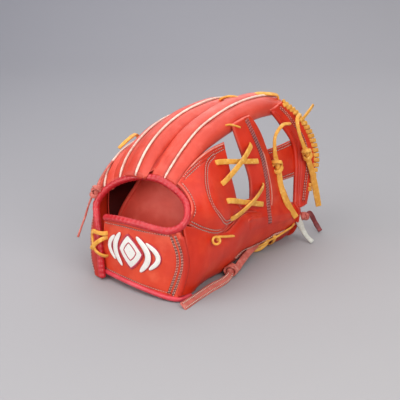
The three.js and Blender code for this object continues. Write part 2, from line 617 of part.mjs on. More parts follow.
// ---------- hand ----------
// A leaning lozenge seen from the wrist, as a prism through the glove.
function lozenge([x, z], [a, b]) {
  const outline = [[x - a, z - 2], [x, z - b], [x + a, z + 1], [x, z + b]];
  const shape = new THREE.Shape(outline.map((p) => new THREE.Vector2(...p)));
  const prism = new THREE.ExtrudeGeometry(shape, { depth: 30, bevelEnabled: false });
  return solidOf(prism.rotateX(Math.PI / 2).translate(0, 5, 0));
}

place("strap_patch", "welt", (grow) => {
  const { low, high } = PATCH;
  const plate = sheet(STRAP, { low, high, across: 6, up: 2, u: [0.02, 0.66], v: [0.12, 0.9] }, grow);
  return plate.intersect(lozenge(PATCH.middle, PATCH.half.map((size) => size + grow)));
});
place("wrist_strap", "shell", (grow) => sheet(STRAP, { across: 8, up: 4 }, grow));
place("strap_lining", "lining", (grow) => {
  const high = -LEATHER - LAYER_GAP;
  const layer = { low: high - STRAP_LINING, high, u: [0.06, 0.9], v: [0.15, 0.9] };
  return sheet(STRAP, { ...layer, across: 6, up: 3 }, grow);
});
const passed = { passedByThumb: true };
place("crotch_panel", "shell", (grow) => sheet(CROTCH, { across: 8, up: 8 }, grow), passed);
place("thumb_heel", "shade", (grow) => sheet(THUMB_HEEL, { across: 6, up: 6 }, grow));
place("pinky_tab", "shade", (grow) => sheet(PINKY_TAB, { across: 3, up: 6 }, grow));
place("pinky_side", "shade", (grow) => sheet(PINKY_SIDE, { across: 6, up: 8, flip: -1 }, grow));
place("palm_leather", "shell", (grow) => sheet(PALM, { across: 8, up: 6, flip: -1 }, grow));
place("crotch_palm", "shell", (grow) => sheet(CROTCH_PALM, { across: 4, up: 5, flip: -1 }, grow), passed);
const FELT_HIGH = -LEATHER - LAYER_GAP;
const LINING_HIGH = FELT_HIGH - FELT - LAYER_GAP;
function felt(name, across, up, u, v) {
  const layer = { low: FELT_HIGH - FELT, high: FELT_HIGH, flip: -1, u, v };
  place(name, "felt", (grow) => sheet(PALM, { ...layer, across, up }, grow));
}

felt("palm_felt", 6, 4, [0.06, 0.94], [0.4, 0.84]);
felt("pinky_heel_pad", 3, 3, [0.05, 0.42], [0.07, 0.38]);
felt("thumb_heel_pad", 3, 3, [0.58, 0.95], [0.07, 0.38]);
place("palm_lining", "lining", (grow) => {
  const layer = { low: LINING_HIGH - LINING, high: LINING_HIGH, flip: -1, u: [0.03, 0.97], v: [0.06, 0.88] };
  return sheet(PALM, { ...layer, across: 7, up: 6 }, grow);
});

// ---------- web ----------
place("base_bar", "shell", (grow) => sheet(BASE_BAR, { low: -WEB_BAR, across: 4, up: 8 }, grow), passed);
place("top_bar", "shell", (grow) => sheet(TOP_BAR, { low: -WEB_BAR, across: 3, up: 8 }, grow), passed);
place("centre_bar", "shell", (grow) => sheet(CENTRE_BAR, { ...CENTRE, across: 5, up: 4 }, grow));

export default model;
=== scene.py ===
"""The looks of a left-hand baseball glove with a laced I-web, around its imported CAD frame.

Shapes are given in millimetres from the heel corner by the thumb, as in the CAD source, and row() brings
them into the frame. Each leather panel is a smooth surface through a small grid of points, with rounded
edges and a relief of seams and creases. Laces and bindings are swept along their routes.
"""
import math
from collections import namedtuple

import bmesh
import bpy
import numpy as np
from mathutils import Matrix


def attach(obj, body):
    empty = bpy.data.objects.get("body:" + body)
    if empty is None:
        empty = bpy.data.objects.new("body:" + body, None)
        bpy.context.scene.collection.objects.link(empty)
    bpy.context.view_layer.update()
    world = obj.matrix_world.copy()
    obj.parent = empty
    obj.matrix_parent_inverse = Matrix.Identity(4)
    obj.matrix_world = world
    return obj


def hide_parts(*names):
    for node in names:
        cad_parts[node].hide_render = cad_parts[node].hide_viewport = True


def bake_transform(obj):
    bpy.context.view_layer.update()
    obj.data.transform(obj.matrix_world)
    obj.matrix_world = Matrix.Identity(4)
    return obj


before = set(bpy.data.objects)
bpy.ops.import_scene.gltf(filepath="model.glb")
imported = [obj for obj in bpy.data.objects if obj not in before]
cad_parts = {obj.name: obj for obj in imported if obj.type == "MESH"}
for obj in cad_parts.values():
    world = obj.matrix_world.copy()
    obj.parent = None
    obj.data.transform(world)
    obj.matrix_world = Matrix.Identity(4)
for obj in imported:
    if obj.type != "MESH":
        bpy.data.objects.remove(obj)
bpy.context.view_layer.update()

MM = 0.001
STAND = np.array([78.66, -120.69, 5.0])  # the heel corner's place in the frame
GROUND = -5.0
LOWEST = GROUND + 0.05  # leather is kept this high
LEATHER = 2.6
DIGIT_WALL = 3.2
PAD_WALL = 4.2
BAR_WALL = 5.0
FELT = 4.0
LINING = 1.8
LAYER_GAP = 0.9
LACE_WIDTH = 5.5
LACE_THICK = 2.2
THREAD_RADIUS = 0.4
THREAD_LIFT = 0.1
NEEDLE_HOLE = 0.6  # its radius
LACE_HOLE = 1.7  # its radius
SATIN_PITCH = 0.55
ROOT = "glove"
THUMB = "thumb"


def row(points):
    """Millimetres from the heel corner to metres in the frame."""
    return (np.asarray(points, float) + STAND) * MM


# ---------- smooth curves ----------
def along(values, t):
    """Values read as a smooth function of t from 0 to 1, running straight on a little past either end."""
    values = np.asarray(values, float)
    t = np.atleast_1d(np.asarray(t, float))
    n = len(values) - 1
    i = np.clip(np.floor(t * n).astype(int), 0, n - 1)
    f = (t * n - i).reshape((-1,) + (1,) * (values.ndim - 1))
    b, c = values[i], values[i + 1]
    a = np.where((i > 0).reshape(f.shape), values[np.maximum(i - 1, 0)], 2 * b - c)
    d = np.where((i + 2 <= n).reshape(f.shape), values[np.minimum(i + 2, n)], 2 * c - b)
    inside = b + 0.5 * f * (c - a + f * (2 * a - 5 * b + 4 * c - d + f * (3 * (b - c) + d - a)))
    before = b + f * (c - a) / 2
    after = c + (f - 1) * (d - b) / 2
    return np.where(f < 0, before, np.where(f > 1, after, inside))


def centripetal(points, per=24):
    """Dense points on the centripetal Catmull-Rom curve through points."""
    p = np.asarray(points, float)
    p = np.vstack([2 * p[0] - p[1], p, 2 * p[-1] - p[-2]])
    out = []
    f = np.linspace(0, 1, per, endpoint=False)[:, None]
    for i in range(1, len(p) - 2):
        x0, x1, x2, x3 = p[i - 1 : i + 3]
        d0, d1, d2 = (max(1e-4, np.sqrt(np.linalg.norm(b - a))) for a, b in ((x0, x1), (x1, x2), (x2, x3)))
        t1 = ((x1 - x0) / d0 - (x2 - x0) / (d0 + d1) + (x2 - x1) / d1) * d1
        t2 = ((x2 - x1) / d1 - (x3 - x1) / (d1 + d2) + (x3 - x2) / d2) * d1
        out.append(x1 + f * t1 + f**2 * (-3 * x1 + 3 * x2 - 2 * t1 - t2) + f**3 * (2 * x1 - 2 * x2 + t1 + t2))
    out.append(p[-2][None])
    return np.vstack(out)


def lengths(path):
    return np.r_[0, np.cumsum(np.linalg.norm(np.diff(path, axis=0), axis=1))]


def resample(path, places, run=None):
    """Rows of path at the given places. run gives each row's own place, and is its distance along the path
    where it isn't given."""
    run = lengths(path) if run is None else run
    return np.stack([np.interp(places, run, path[:, k]) for k in range(3)], -1)


def even(points, spacing):
    """A smooth path through points, in even steps."""
    dense = centripetal(points)
    total = lengths(dense)[-1]
    return resample(dense, np.linspace(0, total, max(3, int(round(total / spacing)) + 1)))


def unit(v):
    v = np.asarray(v, float)
    return v / np.maximum(np.linalg.norm(v, axis=-1, keepdims=True), 1e-9)


def tangents(path):
    return unit(np.gradient(path, axis=0))


def bump(x, width):
    return np.exp(-((x / width) ** 2))


def superellipse(c, s, exponent):
    """Points (c, s) of a circle, drawn out to a square (exponent below 1) or in to a star (above 1)."""
    return np.sign(c) * np.abs(c) ** exponent, np.sign(s) * np.abs(s) ** exponent


def circle(sides, a, b):
    """Points all round the circle whose two half axes are a and b."""
    q = 2 * np.pi * np.arange(sides) / sides
    return a * np.cos(q)[:, None] + b * np.sin(q)[:, None]


def eased(n, sharp=0.75):
    """n + 1 places from 0 to 1, closer together at both ends."""
    x = np.linspace(0, 1, n + 1)
    return x * (1 - sharp) + sharp * (0.5 - 0.5 * np.cos(np.pi * x))


# ---------- meshes ----------
class Shape:
    """Collects grids of points in millimetres, and turns them into one object. tone darkens (below 0) the
    leather at a point with painted shade, or lightens it (above 0) with wear."""

    def __init__(self):
        self.verts, self.faces, self.tones, self.count = [], [], [], 0

    def grid(self, points, closed=False, flip=False, tone=0.0):
        """Adds a grid of quads. Closed joins the last column to the first."""
        r, c = points.shape[:2]
        i, j = np.meshgrid(np.arange(r - 1), np.arange(c if closed else c - 1), indexing="ij")
        k = (j + 1) % c
        quads = np.stack([i * c + j, i * c + k, (i + 1) * c + k, (i + 1) * c + j], -1).reshape(-1, 4)
        quads = quads[:, ::-1] if flip else quads
        self.faces += (quads + self.count).tolist()
        self.verts.append(points.reshape(-1, 3))
        self.tones.append(np.broadcast_to(np.asarray(tone, float).reshape(-1), r * c))
        self.count += r * c

    def make(self, name, material):
        mesh = bpy.data.meshes.new(name)
        mesh.from_pydata([tuple(v) for v in row(np.vstack(self.verts))], [], self.faces)
        tone = mesh.attributes.new("tone", "FLOAT", "POINT")
        tone.data.foreach_set("value", np.concatenate(self.tones).astype(np.float32))
        obj = bpy.data.objects.new(name, mesh)
        bpy.context.scene.collection.objects.link(obj)
        weld(mesh)
        mesh.materials.append(material)
        mesh.shade_smooth()
        return obj


def weld(mesh):
    """Merges points that lie on each other and turns the faces out."""
    b = bmesh.new()
    b.from_mesh(mesh)
    bmesh.ops.remove_doubles(b, verts=b.verts, dist=2e-6)
    bmesh.ops.dissolve_degenerate(b, dist=1e-7, edges=b.edges)
    bmesh.ops.recalc_face_normals(b, faces=b.faces)
    b.to_mesh(mesh)
    b.free()


# ---------- strips ----------
CAP_STEPS = ((0.0, 0.0), (0.55, 0.25), (0.85, 0.6))  # a cap's widths, and how far back each lies


def facings(path, facing):
    """The facing direction carried along a path without twisting."""
    out = np.zeros_like(path)
    now = np.asarray(facing, float)
    for i, a in enumerate(tangents(path)):
        now = now - a * now.dot(a)
        now = now / max(np.linalg.norm(now), 1e-9)
        out[i] = now
    return out


def outline(sides, power):
    """A rounded rectangle between -1 and 1: power 2 is round, and more is squarer."""
    q = 2 * np.pi * (np.arange(sides) + 0.5) / sides
    return np.stack(superellipse(np.cos(q), np.sin(q), 2 / power), -1)


def sweep(shape, path, out, width, thick, sides, power, cap=0.6):
    """A closed strip along a path. out is the direction that it faces at its start, or one for each point.
    width and thick may change along it, and cap rounds its ends."""
    out = facings(path, out) if np.ndim(out) == 1 else out
    ahead = tangents(path)
    side = np.cross(ahead, out)
    width, thick = (np.broadcast_to(x, len(path))[:, None, None] / 2 for x in (width, thick))
    flat = outline(sides, power)
    rings = path[:, None] + side[:, None] * (flat[:, :1] * width) + out[:, None] * (flat[:, 1:] * thick)
    start = [path[0] + (rings[0] - path[0]) * k - ahead[0] * cap * (1 - j) for k, j in CAP_STEPS]
    stop = [path[-1] + (rings[-1] - path[-1]) * k + ahead[-1] * cap * (1 - j) for k, j in CAP_STEPS[::-1]]
    shape.grid(np.concatenate([np.stack(start), rings, np.stack(stop)], 0), closed=True)


def swept(name, material, *strip, **settings):
    """One strip as an object of its own."""
    shape = Shape()
    sweep(shape, *strip, **settings)
    return shape.make(name, material)


def plug(shape, place, around, out, profile):
    """A stopper painted dark as the shade inside a hole. profile gives its radius and height, from the bottom
    up.
    """
    shape.grid(np.stack([place + around * r + out * z for r, z in profile]), closed=True, tone=-1.0)


def stitch_row(shape, path, out, pitch=3.0, length=2.0):
    """Thread lying in short stitches along a path on the leather, with a needle hole between each two.
    resample reads out by its own run, which is short, so nearly all of a row faces as its end does."""
    sides = 6
    for start in np.arange(pitch / 2, lengths(path)[-1] - pitch, pitch):
        places = start + length * np.array([0, 0.12, 0.5, 0.88, 1])
        n = unit(resample(out, places))
        p = resample(path, places)
        p = p + n * (THREAD_LIFT + THREAD_RADIUS * np.array([-0.9, 0, 0.35, 0, -0.9]))[:, None]
        ahead = tangents(p)
        radius = THREAD_RADIUS * np.array([0.35, 0.9, 1, 0.9, 0.35])[:, None, None]
        rings = p[:, None] + circle(sides, unit(np.cross(ahead, n))[:, None], n[:, None]) * radius
        first = np.broadcast_to(p[0] - ahead[0] * THREAD_RADIUS * 0.4, (1, sides, 3))
        last = np.broadcast_to(p[-1] + ahead[-1] * THREAD_RADIUS * 0.4, (1, sides, 3))
        shape.grid(np.concatenate([first, rings, last], 0), closed=True)
        gap = [start + (length + pitch) / 2]
        up, forward = unit(resample(out, gap))[0], unit(p[-1] - p[0])
        plug(shape, resample(path, gap)[0], circle(sides, forward, np.cross(forward, up)), up,
             ((0.0, -0.3), (NEEDLE_HOLE, -0.3), (NEEDLE_HOLE, 0.12), (0.0, 0.18)))


# ---------- materials ----------
def linear(code):
    """A colour written as RRGGBB, as the shader wants it."""
    parts = [int(code[i : i + 2], 16) / 255 for i in (0, 2, 4)]
    return [x / 12.92 if x <= 0.04045 else ((x + 0.055) / 1.055) ** 2.4 for x in parts] + [1.0]


class Nodes:
    """A material's node tree, built with short calls. Sizes are in millimetres, and colours are codes."""

    def __init__(self, name, **shader):
        self.material = bpy.data.materials.new(name)
        self.material.use_nodes = True
        self.tree = self.material.node_tree
        self.shader = self.tree.nodes["Principled BSDF"]
        for key, value in shader.items():
            self.give(self.shader, key.replace("_", " "), value)
        self.place = self.new("ShaderNodeTexCoord").outputs["Object"]

    def give(self, node, key, value):
        """Links a socket to a node's input, or sets the input to a number or a colour."""
        if isinstance(value, bpy.types.NodeSocket):
            self.tree.links.new(value, node.inputs[key])
        else:
            node.inputs[key].default_value = linear(value) if isinstance(value, str) else value

    def new(self, kind, inputs=(), **settings):
        node = self.tree.nodes.new(kind)
        for key, value in settings.items():
            setattr(node, key, value)
        for key, value in dict(inputs).items():
            self.give(node, key, value)
        return node

    def noise(self, size, detail=3.0, rough=0.55, twist=0.0):
        inputs = {"Vector": self.place, "Scale": 1000 / size, "Detail": detail, "Roughness": rough,
                  "Distortion": twist}
        return self.new("ShaderNodeTexNoise", inputs).outputs["Fac"]

    def cells(self, size):
        inputs = {"Vector": self.place, "Scale": 1000 / size}
        return self.new("ShaderNodeTexVoronoi", inputs).outputs["Distance"]

    def spread(self, value, low, high, to_low=0.0, to_high=1.0):
        inputs = {"Value": value, "From Min": low, "From Max": high, "To Min": to_low, "To Max": to_high}
        return self.new("ShaderNodeMapRange", inputs).outputs["Result"]

    def mix(self, factor, a, b):
        return self.new("ShaderNodeMix", {0: factor, 6: a, 7: b}, data_type="RGBA").outputs[2]

    def math(self, operation, a, b):
        return self.new("ShaderNodeMath", {0: a, 1: b}, operation=operation).outputs[0]

    def tone(self):
        return self.new("ShaderNodeAttribute", attribute_name="tone").outputs["Fac"]

    def bumps(self, *layers):
        """layers are (height, depth in mm, strength)."""
        normal = None
        for height, depth, strength in layers:
            inputs = {"Height": height, "Distance": depth * MM, "Strength": strength}
            if normal is not None:
                inputs["Normal"] = normal
            normal = self.new("ShaderNodeBump", inputs).outputs["Normal"]
        self.give(self.shader, "Normal", normal)

    def out(self, colour, rough):
        self.give(self.shader, "Base Color", colour)
        self.give(self.shader, "Roughness", rough)
        return self.material


def leather(name, shade, middle, light, smooth=0.42, grain=1.0, coat=0.12):
    """Dyed glove leather: cloudy colour, fine pores, soft folds, painted shade in grooves and beside seams,
    and pale worn edges.
    """
    m = Nodes(name, Coat_Weight=coat, Coat_Roughness=0.35, Specular_IOR_Level=0.4)
    colour = m.mix(m.spread(m.noise(48, 4, 0.6, 0.4), 0.3, 0.7), shade, middle)
    colour = m.mix(m.spread(m.noise(19, 3, 0.5), 0.5, 0.85, 0, 0.6), colour, light)
    pores = m.cells(1.15)
    colour = m.mix(m.spread(pores, 0.0, 0.35, 0.16, 0.0), colour, shade)
    tone = m.tone()
    # painted shade where tone is below 0, in grooves and below steps; pale wear where it is above 0
    colour = m.mix(m.spread(tone, 0.0, -1.0, 0.0, 0.8), colour, "5E140E")
    colour = m.mix(m.spread(tone, 0.0, 1.0, 0.0, 0.7), colour, "FFAF98")
    m.bumps((m.noise(13, 3, 0.5, 0.6), 1.2, 0.16), (m.noise(2.4, 2), 0.25, 0.22 * grain),
            (pores, 0.16, 0.3 * grain))
    return m.out(colour, m.spread(m.noise(26, 3), 0.3, 0.7, smooth, smooth + 0.12))


def rawhide(name, shade, middle, light, smooth=0.5):
    """Lace leather: streaked along the lace, with a fibrous cut edge."""
    m = Nodes(name, Coat_Weight=0.05, Coat_Roughness=0.4, Sheen_Weight=0.12, Sheen_Roughness=0.5,
              Sheen_Tint="FFE9C4")
    colour = m.mix(m.spread(m.noise(14, 4, 0.6, 0.8), 0.32, 0.68), shade, middle)
    colour = m.mix(m.spread(m.noise(4.5, 3), 0.52, 0.8, 0, 0.8), colour, light)
    fibres = m.noise(0.9, 3, 0.7, 0.3)
    colour = m.mix(m.spread(fibres, 0.35, 0.6, 0.3, 0.0), colour, shade)
    # painted shade where tone is below 0
    colour = m.mix(m.spread(m.tone(), 0.0, -1.0, 0.0, 0.75), colour, "6B3A14")
    m.bumps((m.noise(5, 3), 0.6, 0.3), (fibres, 0.2, 0.35))
    return m.out(colour, m.spread(fibres, 0.3, 0.7, smooth, smooth + 0.2))


def twisted_thread(name, shade, light):
    """Sewing thread with its ply showing. The stoppers of needle and lace holes take it too, painted dark as
    the shade in the holes.
    """
    m = Nodes(name, Sheen_Weight=0.25, Sheen_Roughness=0.4)
    ply = m.noise(0.5, 2, 0.6, 1.0)
    colour = m.mix(m.spread(ply, 0.35, 0.65), shade, light)
    # painted shade of the holes, where tone is below 0
    colour = m.mix(m.spread(m.tone(), 0.0, -1.0), colour, "3A1512")
    m.bumps((ply, 0.12, 0.4))
    return m.out(colour, m.spread(ply, 0.3, 0.7, 0.5, 0.7))


def wool(name, shade, light):
    """Pressed wool felt."""
    m = Nodes(name, Sheen_Weight=0.4, Sheen_Roughness=0.6)
    fibres = m.noise(0.8, 5, 0.8, 1.5)
    colour = m.mix(m.spread(m.noise(7, 3), 0.3, 0.7), shade, light)
    colour = m.mix(m.spread(fibres, 0.4, 0.65, 0.35, 0.0), colour, shade)
    m.bumps((m.noise(3, 4), 0.8, 0.5), (fibres, 0.3, 0.6))
    return m.out(colour, m.spread(fibres, 0.3, 0.7, 0.85, 1.0))


def embroidery(name, shade, light):
    """Satin stitch: threads lying side by side, slanting over the strap."""
    m = Nodes(name, Sheen_Weight=0.3, Sheen_Roughness=0.3, Specular_IOR_Level=0.6)
    slanted = m.new("ShaderNodeMapping", {"Vector": m.place, "Rotation": (0.0, math.radians(35), 0.0)})
    inputs = {"Vector": slanted.outputs["Vector"], "Scale": 1000 / SATIN_PITCH / 6.283, "Distortion": 1.2,
              "Detail": 2.0, "Detail Scale": 2.0}
    threads = m.new("ShaderNodeTexWave", inputs, wave_type="BANDS", bands_direction="X").outputs["Fac"]
    colour = m.mix(m.spread(threads, 0.0, 1.0), shade, light)
    colour = m.mix(m.spread(m.noise(9, 3), 0.45, 0.8, 0, 0.5), colour, shade)
    m.bumps((m.noise(6, 2), 0.4, 0.3), (threads, 0.25, 0.6))
    return m.out(colour, m.spread(threads, 0, 1, 0.5, 0.32))


SHELL = leather("shell_leather", "BE2208", "D6300F", "E4502C")
# a paler copy of the shell leather for the finger backs: painted sheen where light falls on their tops
FINGER_SHEEN = leather("finger_leather_painted_sheen", "C03422", "DA4C38", "EC7262")
# a darker copy of the shell leather for the fronts, sides and undersides: painted shade where they face away
# from the light
SHADE = leather("side_leather_painted_shade", "AE1D08", "C6290E", "D84426")
STRAP_LEATHER = leather("strap_leather", "C42C10", "DA4422", "EA6A48")
BINDING = leather("binding_leather", "AE141E", "C6242E", "DC444C", smooth=0.3, grain=0.5, coat=0.3)
PIPING = leather("piping_leather", "C42A38", "D84350", "E86A74", smooth=0.32, grain=0.5, coat=0.25)
# a near-black copy of the lining leather: painted shade for the mouths of the finger stalls
STALL_MOUTH_SHADE = leather("stall_mouth_painted_shade", "2A0605", "430C08", "64170F")
LINING_LEATHER = leather("lining_leather", "DC4434", "F4604C", "FC7C68", smooth=0.5, grain=0.6, coat=0.05)
LACE = rawhide("lace_rawhide", "CC8626", "F0B044", "FCD678")
RED_LACE = rawhide("red_lace", "B04A40", "CC6A5C", "E6A094")
DARK_LACE = rawhide("dark_red_lace", "641A1E", "8C2C30", "B05A58")
THONG = rawhide("suede_thong", "A9A49A", "C9CCC4", "E2E6E0", smooth=0.8)
WELT = rawhide("welt_leather", "DBA898", "F4DDCC", "FFF3E6")
PALE_EDGE = rawhide("pale_edge", "C06A58", "E6A08E", "F4C4B4")
THREAD = twisted_thread("thread", "A87C72", "DDBCB0")
PALE_THREAD = twisted_thread("pale_thread", "E0B8A0", "FBE6D6")
WEB_THREAD = twisted_thread("web_thread", "8A4448", "C99A96")
FELT_WOOL = wool("felt_wool", "B9B0A0", "DAD3C4")
WHITE_SATIN = embroidery("white_satin", "D9D6CF", "F4F2EC")
CRIMSON_SATIN = embroidery("crimson_satin", "A01630", "C42444")


# ---------- sheets of leather ----------
NORMAL_STEP = 0.01
STEP_WIDTH = 0.7  # over which the leather rises at the step of a seam
SEAM_REACH = 12  # how far from its line a seam's grooves and step stand out in full
STEP_REACH = 7  # the same for the height of its step, which ends at twice this
# painted shade in the groove under each row of stitches
FURROW_SHADE = 0.55
WORN = 1.2  # width of the pale worn line at an edge


def weights(rows, s, t):
    rows = np.asarray(rows, float)
    return along(np.eye(rows.shape[0]), t), along(np.eye(rows.shape[1]), s), rows


def sheet_point(rows, s, t):
    """Points of the surface through a grid of points, at paired s (across) and t (up)."""
    return np.einsum("mr,mc,rck->mk", *weights(rows, s, t))


def sheet_grid(rows, s, t):
    """The same surface at every s of every t."""
    return np.einsum("ir,jc,rck->ijk", *weights(rows, s, t))


def sheet_normals(read, rows, s, t, flip=1):
    """Its normals at the points that read gives, which is one of the two functions above."""
    across = read(rows, s + NORMAL_STEP, t) - read(rows, s - NORMAL_STEP, t)
    up = read(rows, s, t + NORMAL_STEP) - read(rows, s, t - NORMAL_STEP)
    return unit(np.cross(across, up)) * flip


def on_sheet(rows, points, spacing=1.0, flip=1, lift=0.0):
    """A smooth line on a sheet through (s, t) points, with the sheet's normal along it."""
    s, t = centripetal([(a, b, 0) for a, b in points])[:, :2].T
    path = sheet_point(rows, s, t)
    run = lengths(path)
    places = np.linspace(0, run[-1], max(3, int(run[-1] / spacing)))
    normal = unit(resample(sheet_normals(sheet_point, rows, s, t, flip), places, run))
    return resample(path, places) + normal * lift, normal


def edge_steps(low, high, span, n, edge):
    """Values from low to high with extra ones beside the ends, where the edge is rounded."""
    near = edge * np.array([0, 0.06, 0.22, 0.5, 0.8, 1.1]) / span * (high - low)
    middle = np.linspace(low + near[-1], high - near[-1], n)[1:-1]
    return np.r_[low + near, middle, (high - near)[::-1]]


def travelled(points, axis):
    """How far each point of a grid lies along its column (axis 0) or its row (axis 1)."""
    steps = np.linalg.norm(np.diff(points, axis=axis), axis=-1)
    return np.cumsum(np.pad(steps, ((1, 0), (0, 0)) if axis == 0 else ((0, 0), (1, 0))), axis)


def rounding(far, edge):
    """The share of its thickness that leather has so far from its edge, which is a half round."""
    return np.sqrt(np.clip(1 - (1 - np.clip(far / edge, 0, 1)) ** 2, 0, 1))


def wrinkle(p, size=1.0):
    """Slow unevenness of soft leather, between -1 and 1."""
    x, y, z = (p[..., k] / size for k in range(3))
    a = np.sin(x / 9.1 + 1.7 * np.sin(y / 17.3) + 0.6) * np.sin(z / 8.3 + y / 12.9 + 1.1)
    b = np.sin(x / 4.3 - z / 5.7 + 2.2) * np.sin(y / 6.1 + 0.4 * np.sin(z / 9.0) + 3.0)
    return 0.65 * a + 0.35 * b


class Seam:
    """A line on a sheet with rows of stitches beside it, a groove of painted shade under each row, and a step
    across it, beyond which shade paints the leather darker.
    """

    def __init__(self, line, rows=(0.0,), groove=0.35, step=0.0, wide=0.9, shade=0.0):
        self.line, self.rows, self.groove = line, rows, groove
        self.step, self.wide, self.shade = step, wide, shade

    def relief(self, p, path, out):
        """How far the leather's points stand out, and their tone of painted shade, for the seam lying along
        path.
        """
        flat = p.reshape(-1, 3)
        far = np.linalg.norm(flat[:, None] - path[None], axis=-1)
        near = far.argmin(1)
        side = ((flat - path[near]) * np.cross(tangents(path), out)[near]).sum(1).reshape(p.shape[:-1])
        far = far.min(1).reshape(p.shape[:-1])
        lift, tone = np.zeros(far.shape), np.zeros(far.shape)
        for offset in self.rows:
            row_far = np.where(far < SEAM_REACH, np.abs(side - offset), SEAM_REACH)
            row_far = np.hypot(row_far, np.maximum(0, far - np.abs(side)))
            lift -= self.groove * bump(row_far, self.wide)
            tone -= FURROW_SHADE * bump(row_far, 0.8 * self.wide)
        beyond = (0.5 + 0.5 * np.tanh(side / STEP_WIDTH)) * np.clip(2 - far / SEAM_REACH, 0, 1)
        lift += self.step * beyond * np.clip(2 - far / STEP_REACH, 0, 1)
        return lift, tone - self.shade * beyond

    def sew(self, threads, path, out):
        side = unit(np.cross(tangents(path), out))
        for offset in self.rows:
            height = (0.5 + 0.5 * math.tanh(offset / STEP_WIDTH)) * self.step - 0.6 * self.groove
            stitch_row(threads, path + side * offset + out * height, out)


def sewn(seams, p, lift, tone, threads):
    """The leather's lift and tone with its seams, given as (Seam, path, out). threads gets their stitches."""
    for seam, path, out in seams:
        more, dark = seam.relief(p, path, out)
        lift, tone = lift + more, tone + dark
        seam.sew(threads, path, out)
    return lift, tone


def two_sided(name, material, outside, inside, tone, threads=None, thread=THREAD, flip=1):
    """Leather between its two faces, kept above the ground, and its stitches as a second object."""
    shape = Shape()
    for face in (outside, inside):
        face[..., 2] = np.maximum(face[..., 2], LOWEST)
    shape.grid(outside, flip=(flip < 0), tone=np.clip(tone, -1, 1))
    shape.grid(inside, flip=(flip > 0))
    made = [shape.make(name, material)]
    if threads and threads.count:
        made.append(threads.make(name + "_stitches", thread))
    return made


def panel(name, rows, material, low=-LEATHER, high=0.0, u=(0, 1), v=(0, 1), flip=1, nu=44, nv=36, edge=1.3,
          seams=(), thread=THREAD, ripple=0.25, warp=None, holes=()):
    """A leather panel with rounded edges and seams. It lies from low to high over the sheet, for s in u and
    t in v. warp changes its outline, and holes for laces are dark stoppers of painted shade."""
    probe = sheet_grid(rows, np.linspace(*u, 20), np.linspace(*v, 20))
    span_u = np.linalg.norm(np.diff(probe, axis=1), axis=-1).sum(1).mean()
    span_v = np.linalg.norm(np.diff(probe, axis=0), axis=-1).sum(0).mean()
    s, t = edge_steps(*u, span_u, nu, edge), edge_steps(*v, span_v, nv, edge)
    p, n = sheet_grid(rows, s, t), sheet_normals(sheet_grid, rows, s, t, flip)
    if warp is not None:
        s, t = (x.ravel() for x in warp(*np.meshgrid(s, t)))
        p = sheet_point(rows, s, t).reshape(p.shape)
        n = sheet_normals(sheet_point, rows, s, t, flip).reshape(p.shape)
    du, dv = travelled(p, 1), travelled(p, 0)
    far = np.minimum(np.minimum(du, du[:, -1:] - du), np.minimum(dv, dv[-1:] - dv))
    threads = Shape()
    lines = [(seam, *on_sheet(rows, seam.line, flip=flip, lift=high)) for seam in seams]
    lift, tone = sewn(lines, p + n * high, wrinkle(p) * ripple, 0.25 * bump(far, WORN), threads)
    for place in holes:
        at = [rows, *np.array([place]).T]
        out = sheet_normals(sheet_point, *at, flip)[0]
        side = unit(np.cross(out, [0.31, 0.2, 0.93]))
        plug(threads, sheet_point(*at)[0] + out * high, circle(16, side, np.cross(out, side)), out,
             ((0.0, -0.6), (LACE_HOLE, -0.6), (LACE_HOLE, 0.35), (0.0, 0.3)))
    middle, half = (high + low) / 2, (high - low) / 2
    roll = rounding(far, edge)
    outside = p + n * (middle + half * roll + lift * roll)[..., None]
    inside = p + n * (middle - half * roll)[..., None]
    return two_sided(name, material, outside, inside, tone, threads, thread, flip)


# ---------- bodies ----------
WEB_BEND = ((-24, 180, 92), (-24, 180, 36))
THUMB_BEND = ((-10, 28, 20), (-10, 88, 20))
CROTCH_BEND = ((-20, 60, 95), (-8, 118, 37))


def finish(objects, place, slot, *nodes):
    """Attaches the pieces to the body named place, or leaves them fixed where they stand when place is the
    two points between the hand's motion and the thumb's, and hides the CAD nodes that the first one stands
    for. slot is not used."""
    objects = objects if isinstance(objects, list) else [objects]
    for obj in objects:
        if isinstance(place, str):
            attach(obj, place)
        else:
            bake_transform(obj)
    if nodes:
        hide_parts(*nodes)
    return objects


# ---------- camera, floor and lights ----------
AZIMUTH, ELEVATION = math.radians(40), math.radians(20)
RIGHT = np.array([math.cos(AZIMUTH), math.sin(AZIMUTH), 0])
FORWARD = np.array([-math.sin(AZIMUTH) * math.cos(ELEVATION), math.cos(AZIMUTH) * math.cos(ELEVATION),
                    -math.sin(ELEVATION)])
UP = np.cross(RIGHT, FORWARD)
EYE = 13.1 * RIGHT + 97.9 * UP - 1110 * FORWARD
VIEWER = tuple(-FORWARD + 0.25 * UP)
MIDDLE = (-75, 110, 70)  # of the glove, at which the lamps point


def facing_matrix(place, forward, up):
    forward = unit(forward)
    right = unit(np.cross(forward, up))
    above = np.cross(right, forward)
    return Matrix([[right[k], above[k], -forward[k], place[k]] for k in range(3)] + [[0, 0, 0, 1]])


camera = bpy.data.objects.new("camera", bpy.data.cameras.new("camera"))
camera.data.lens = 99  # a focal length of 1100 pixels for a picture 400 wide
camera.data.sensor_width = 36
camera.data.clip_end = 20
camera.matrix_world = facing_matrix(row(EYE), FORWARD, UP)
bpy.context.scene.collection.objects.link(camera)
bpy.context.scene.camera = camera
bpy.context.scene.view_settings.view_transform = "Standard"


def lamp(name, place, size, power, colour):
    data = bpy.data.lights.new(name, "AREA")
    data.shape, data.size, data.size_y = "RECTANGLE", size[0], size[1]
    data.energy, data.color = power, colour
    obj = bpy.data.objects.new(name, data)
    obj.matrix_world = facing_matrix(row(place), row(MIDDLE) - row(place), np.array([0.0, 0.01, 1.0]))
    bpy.context.scene.collection.objects.link(obj)


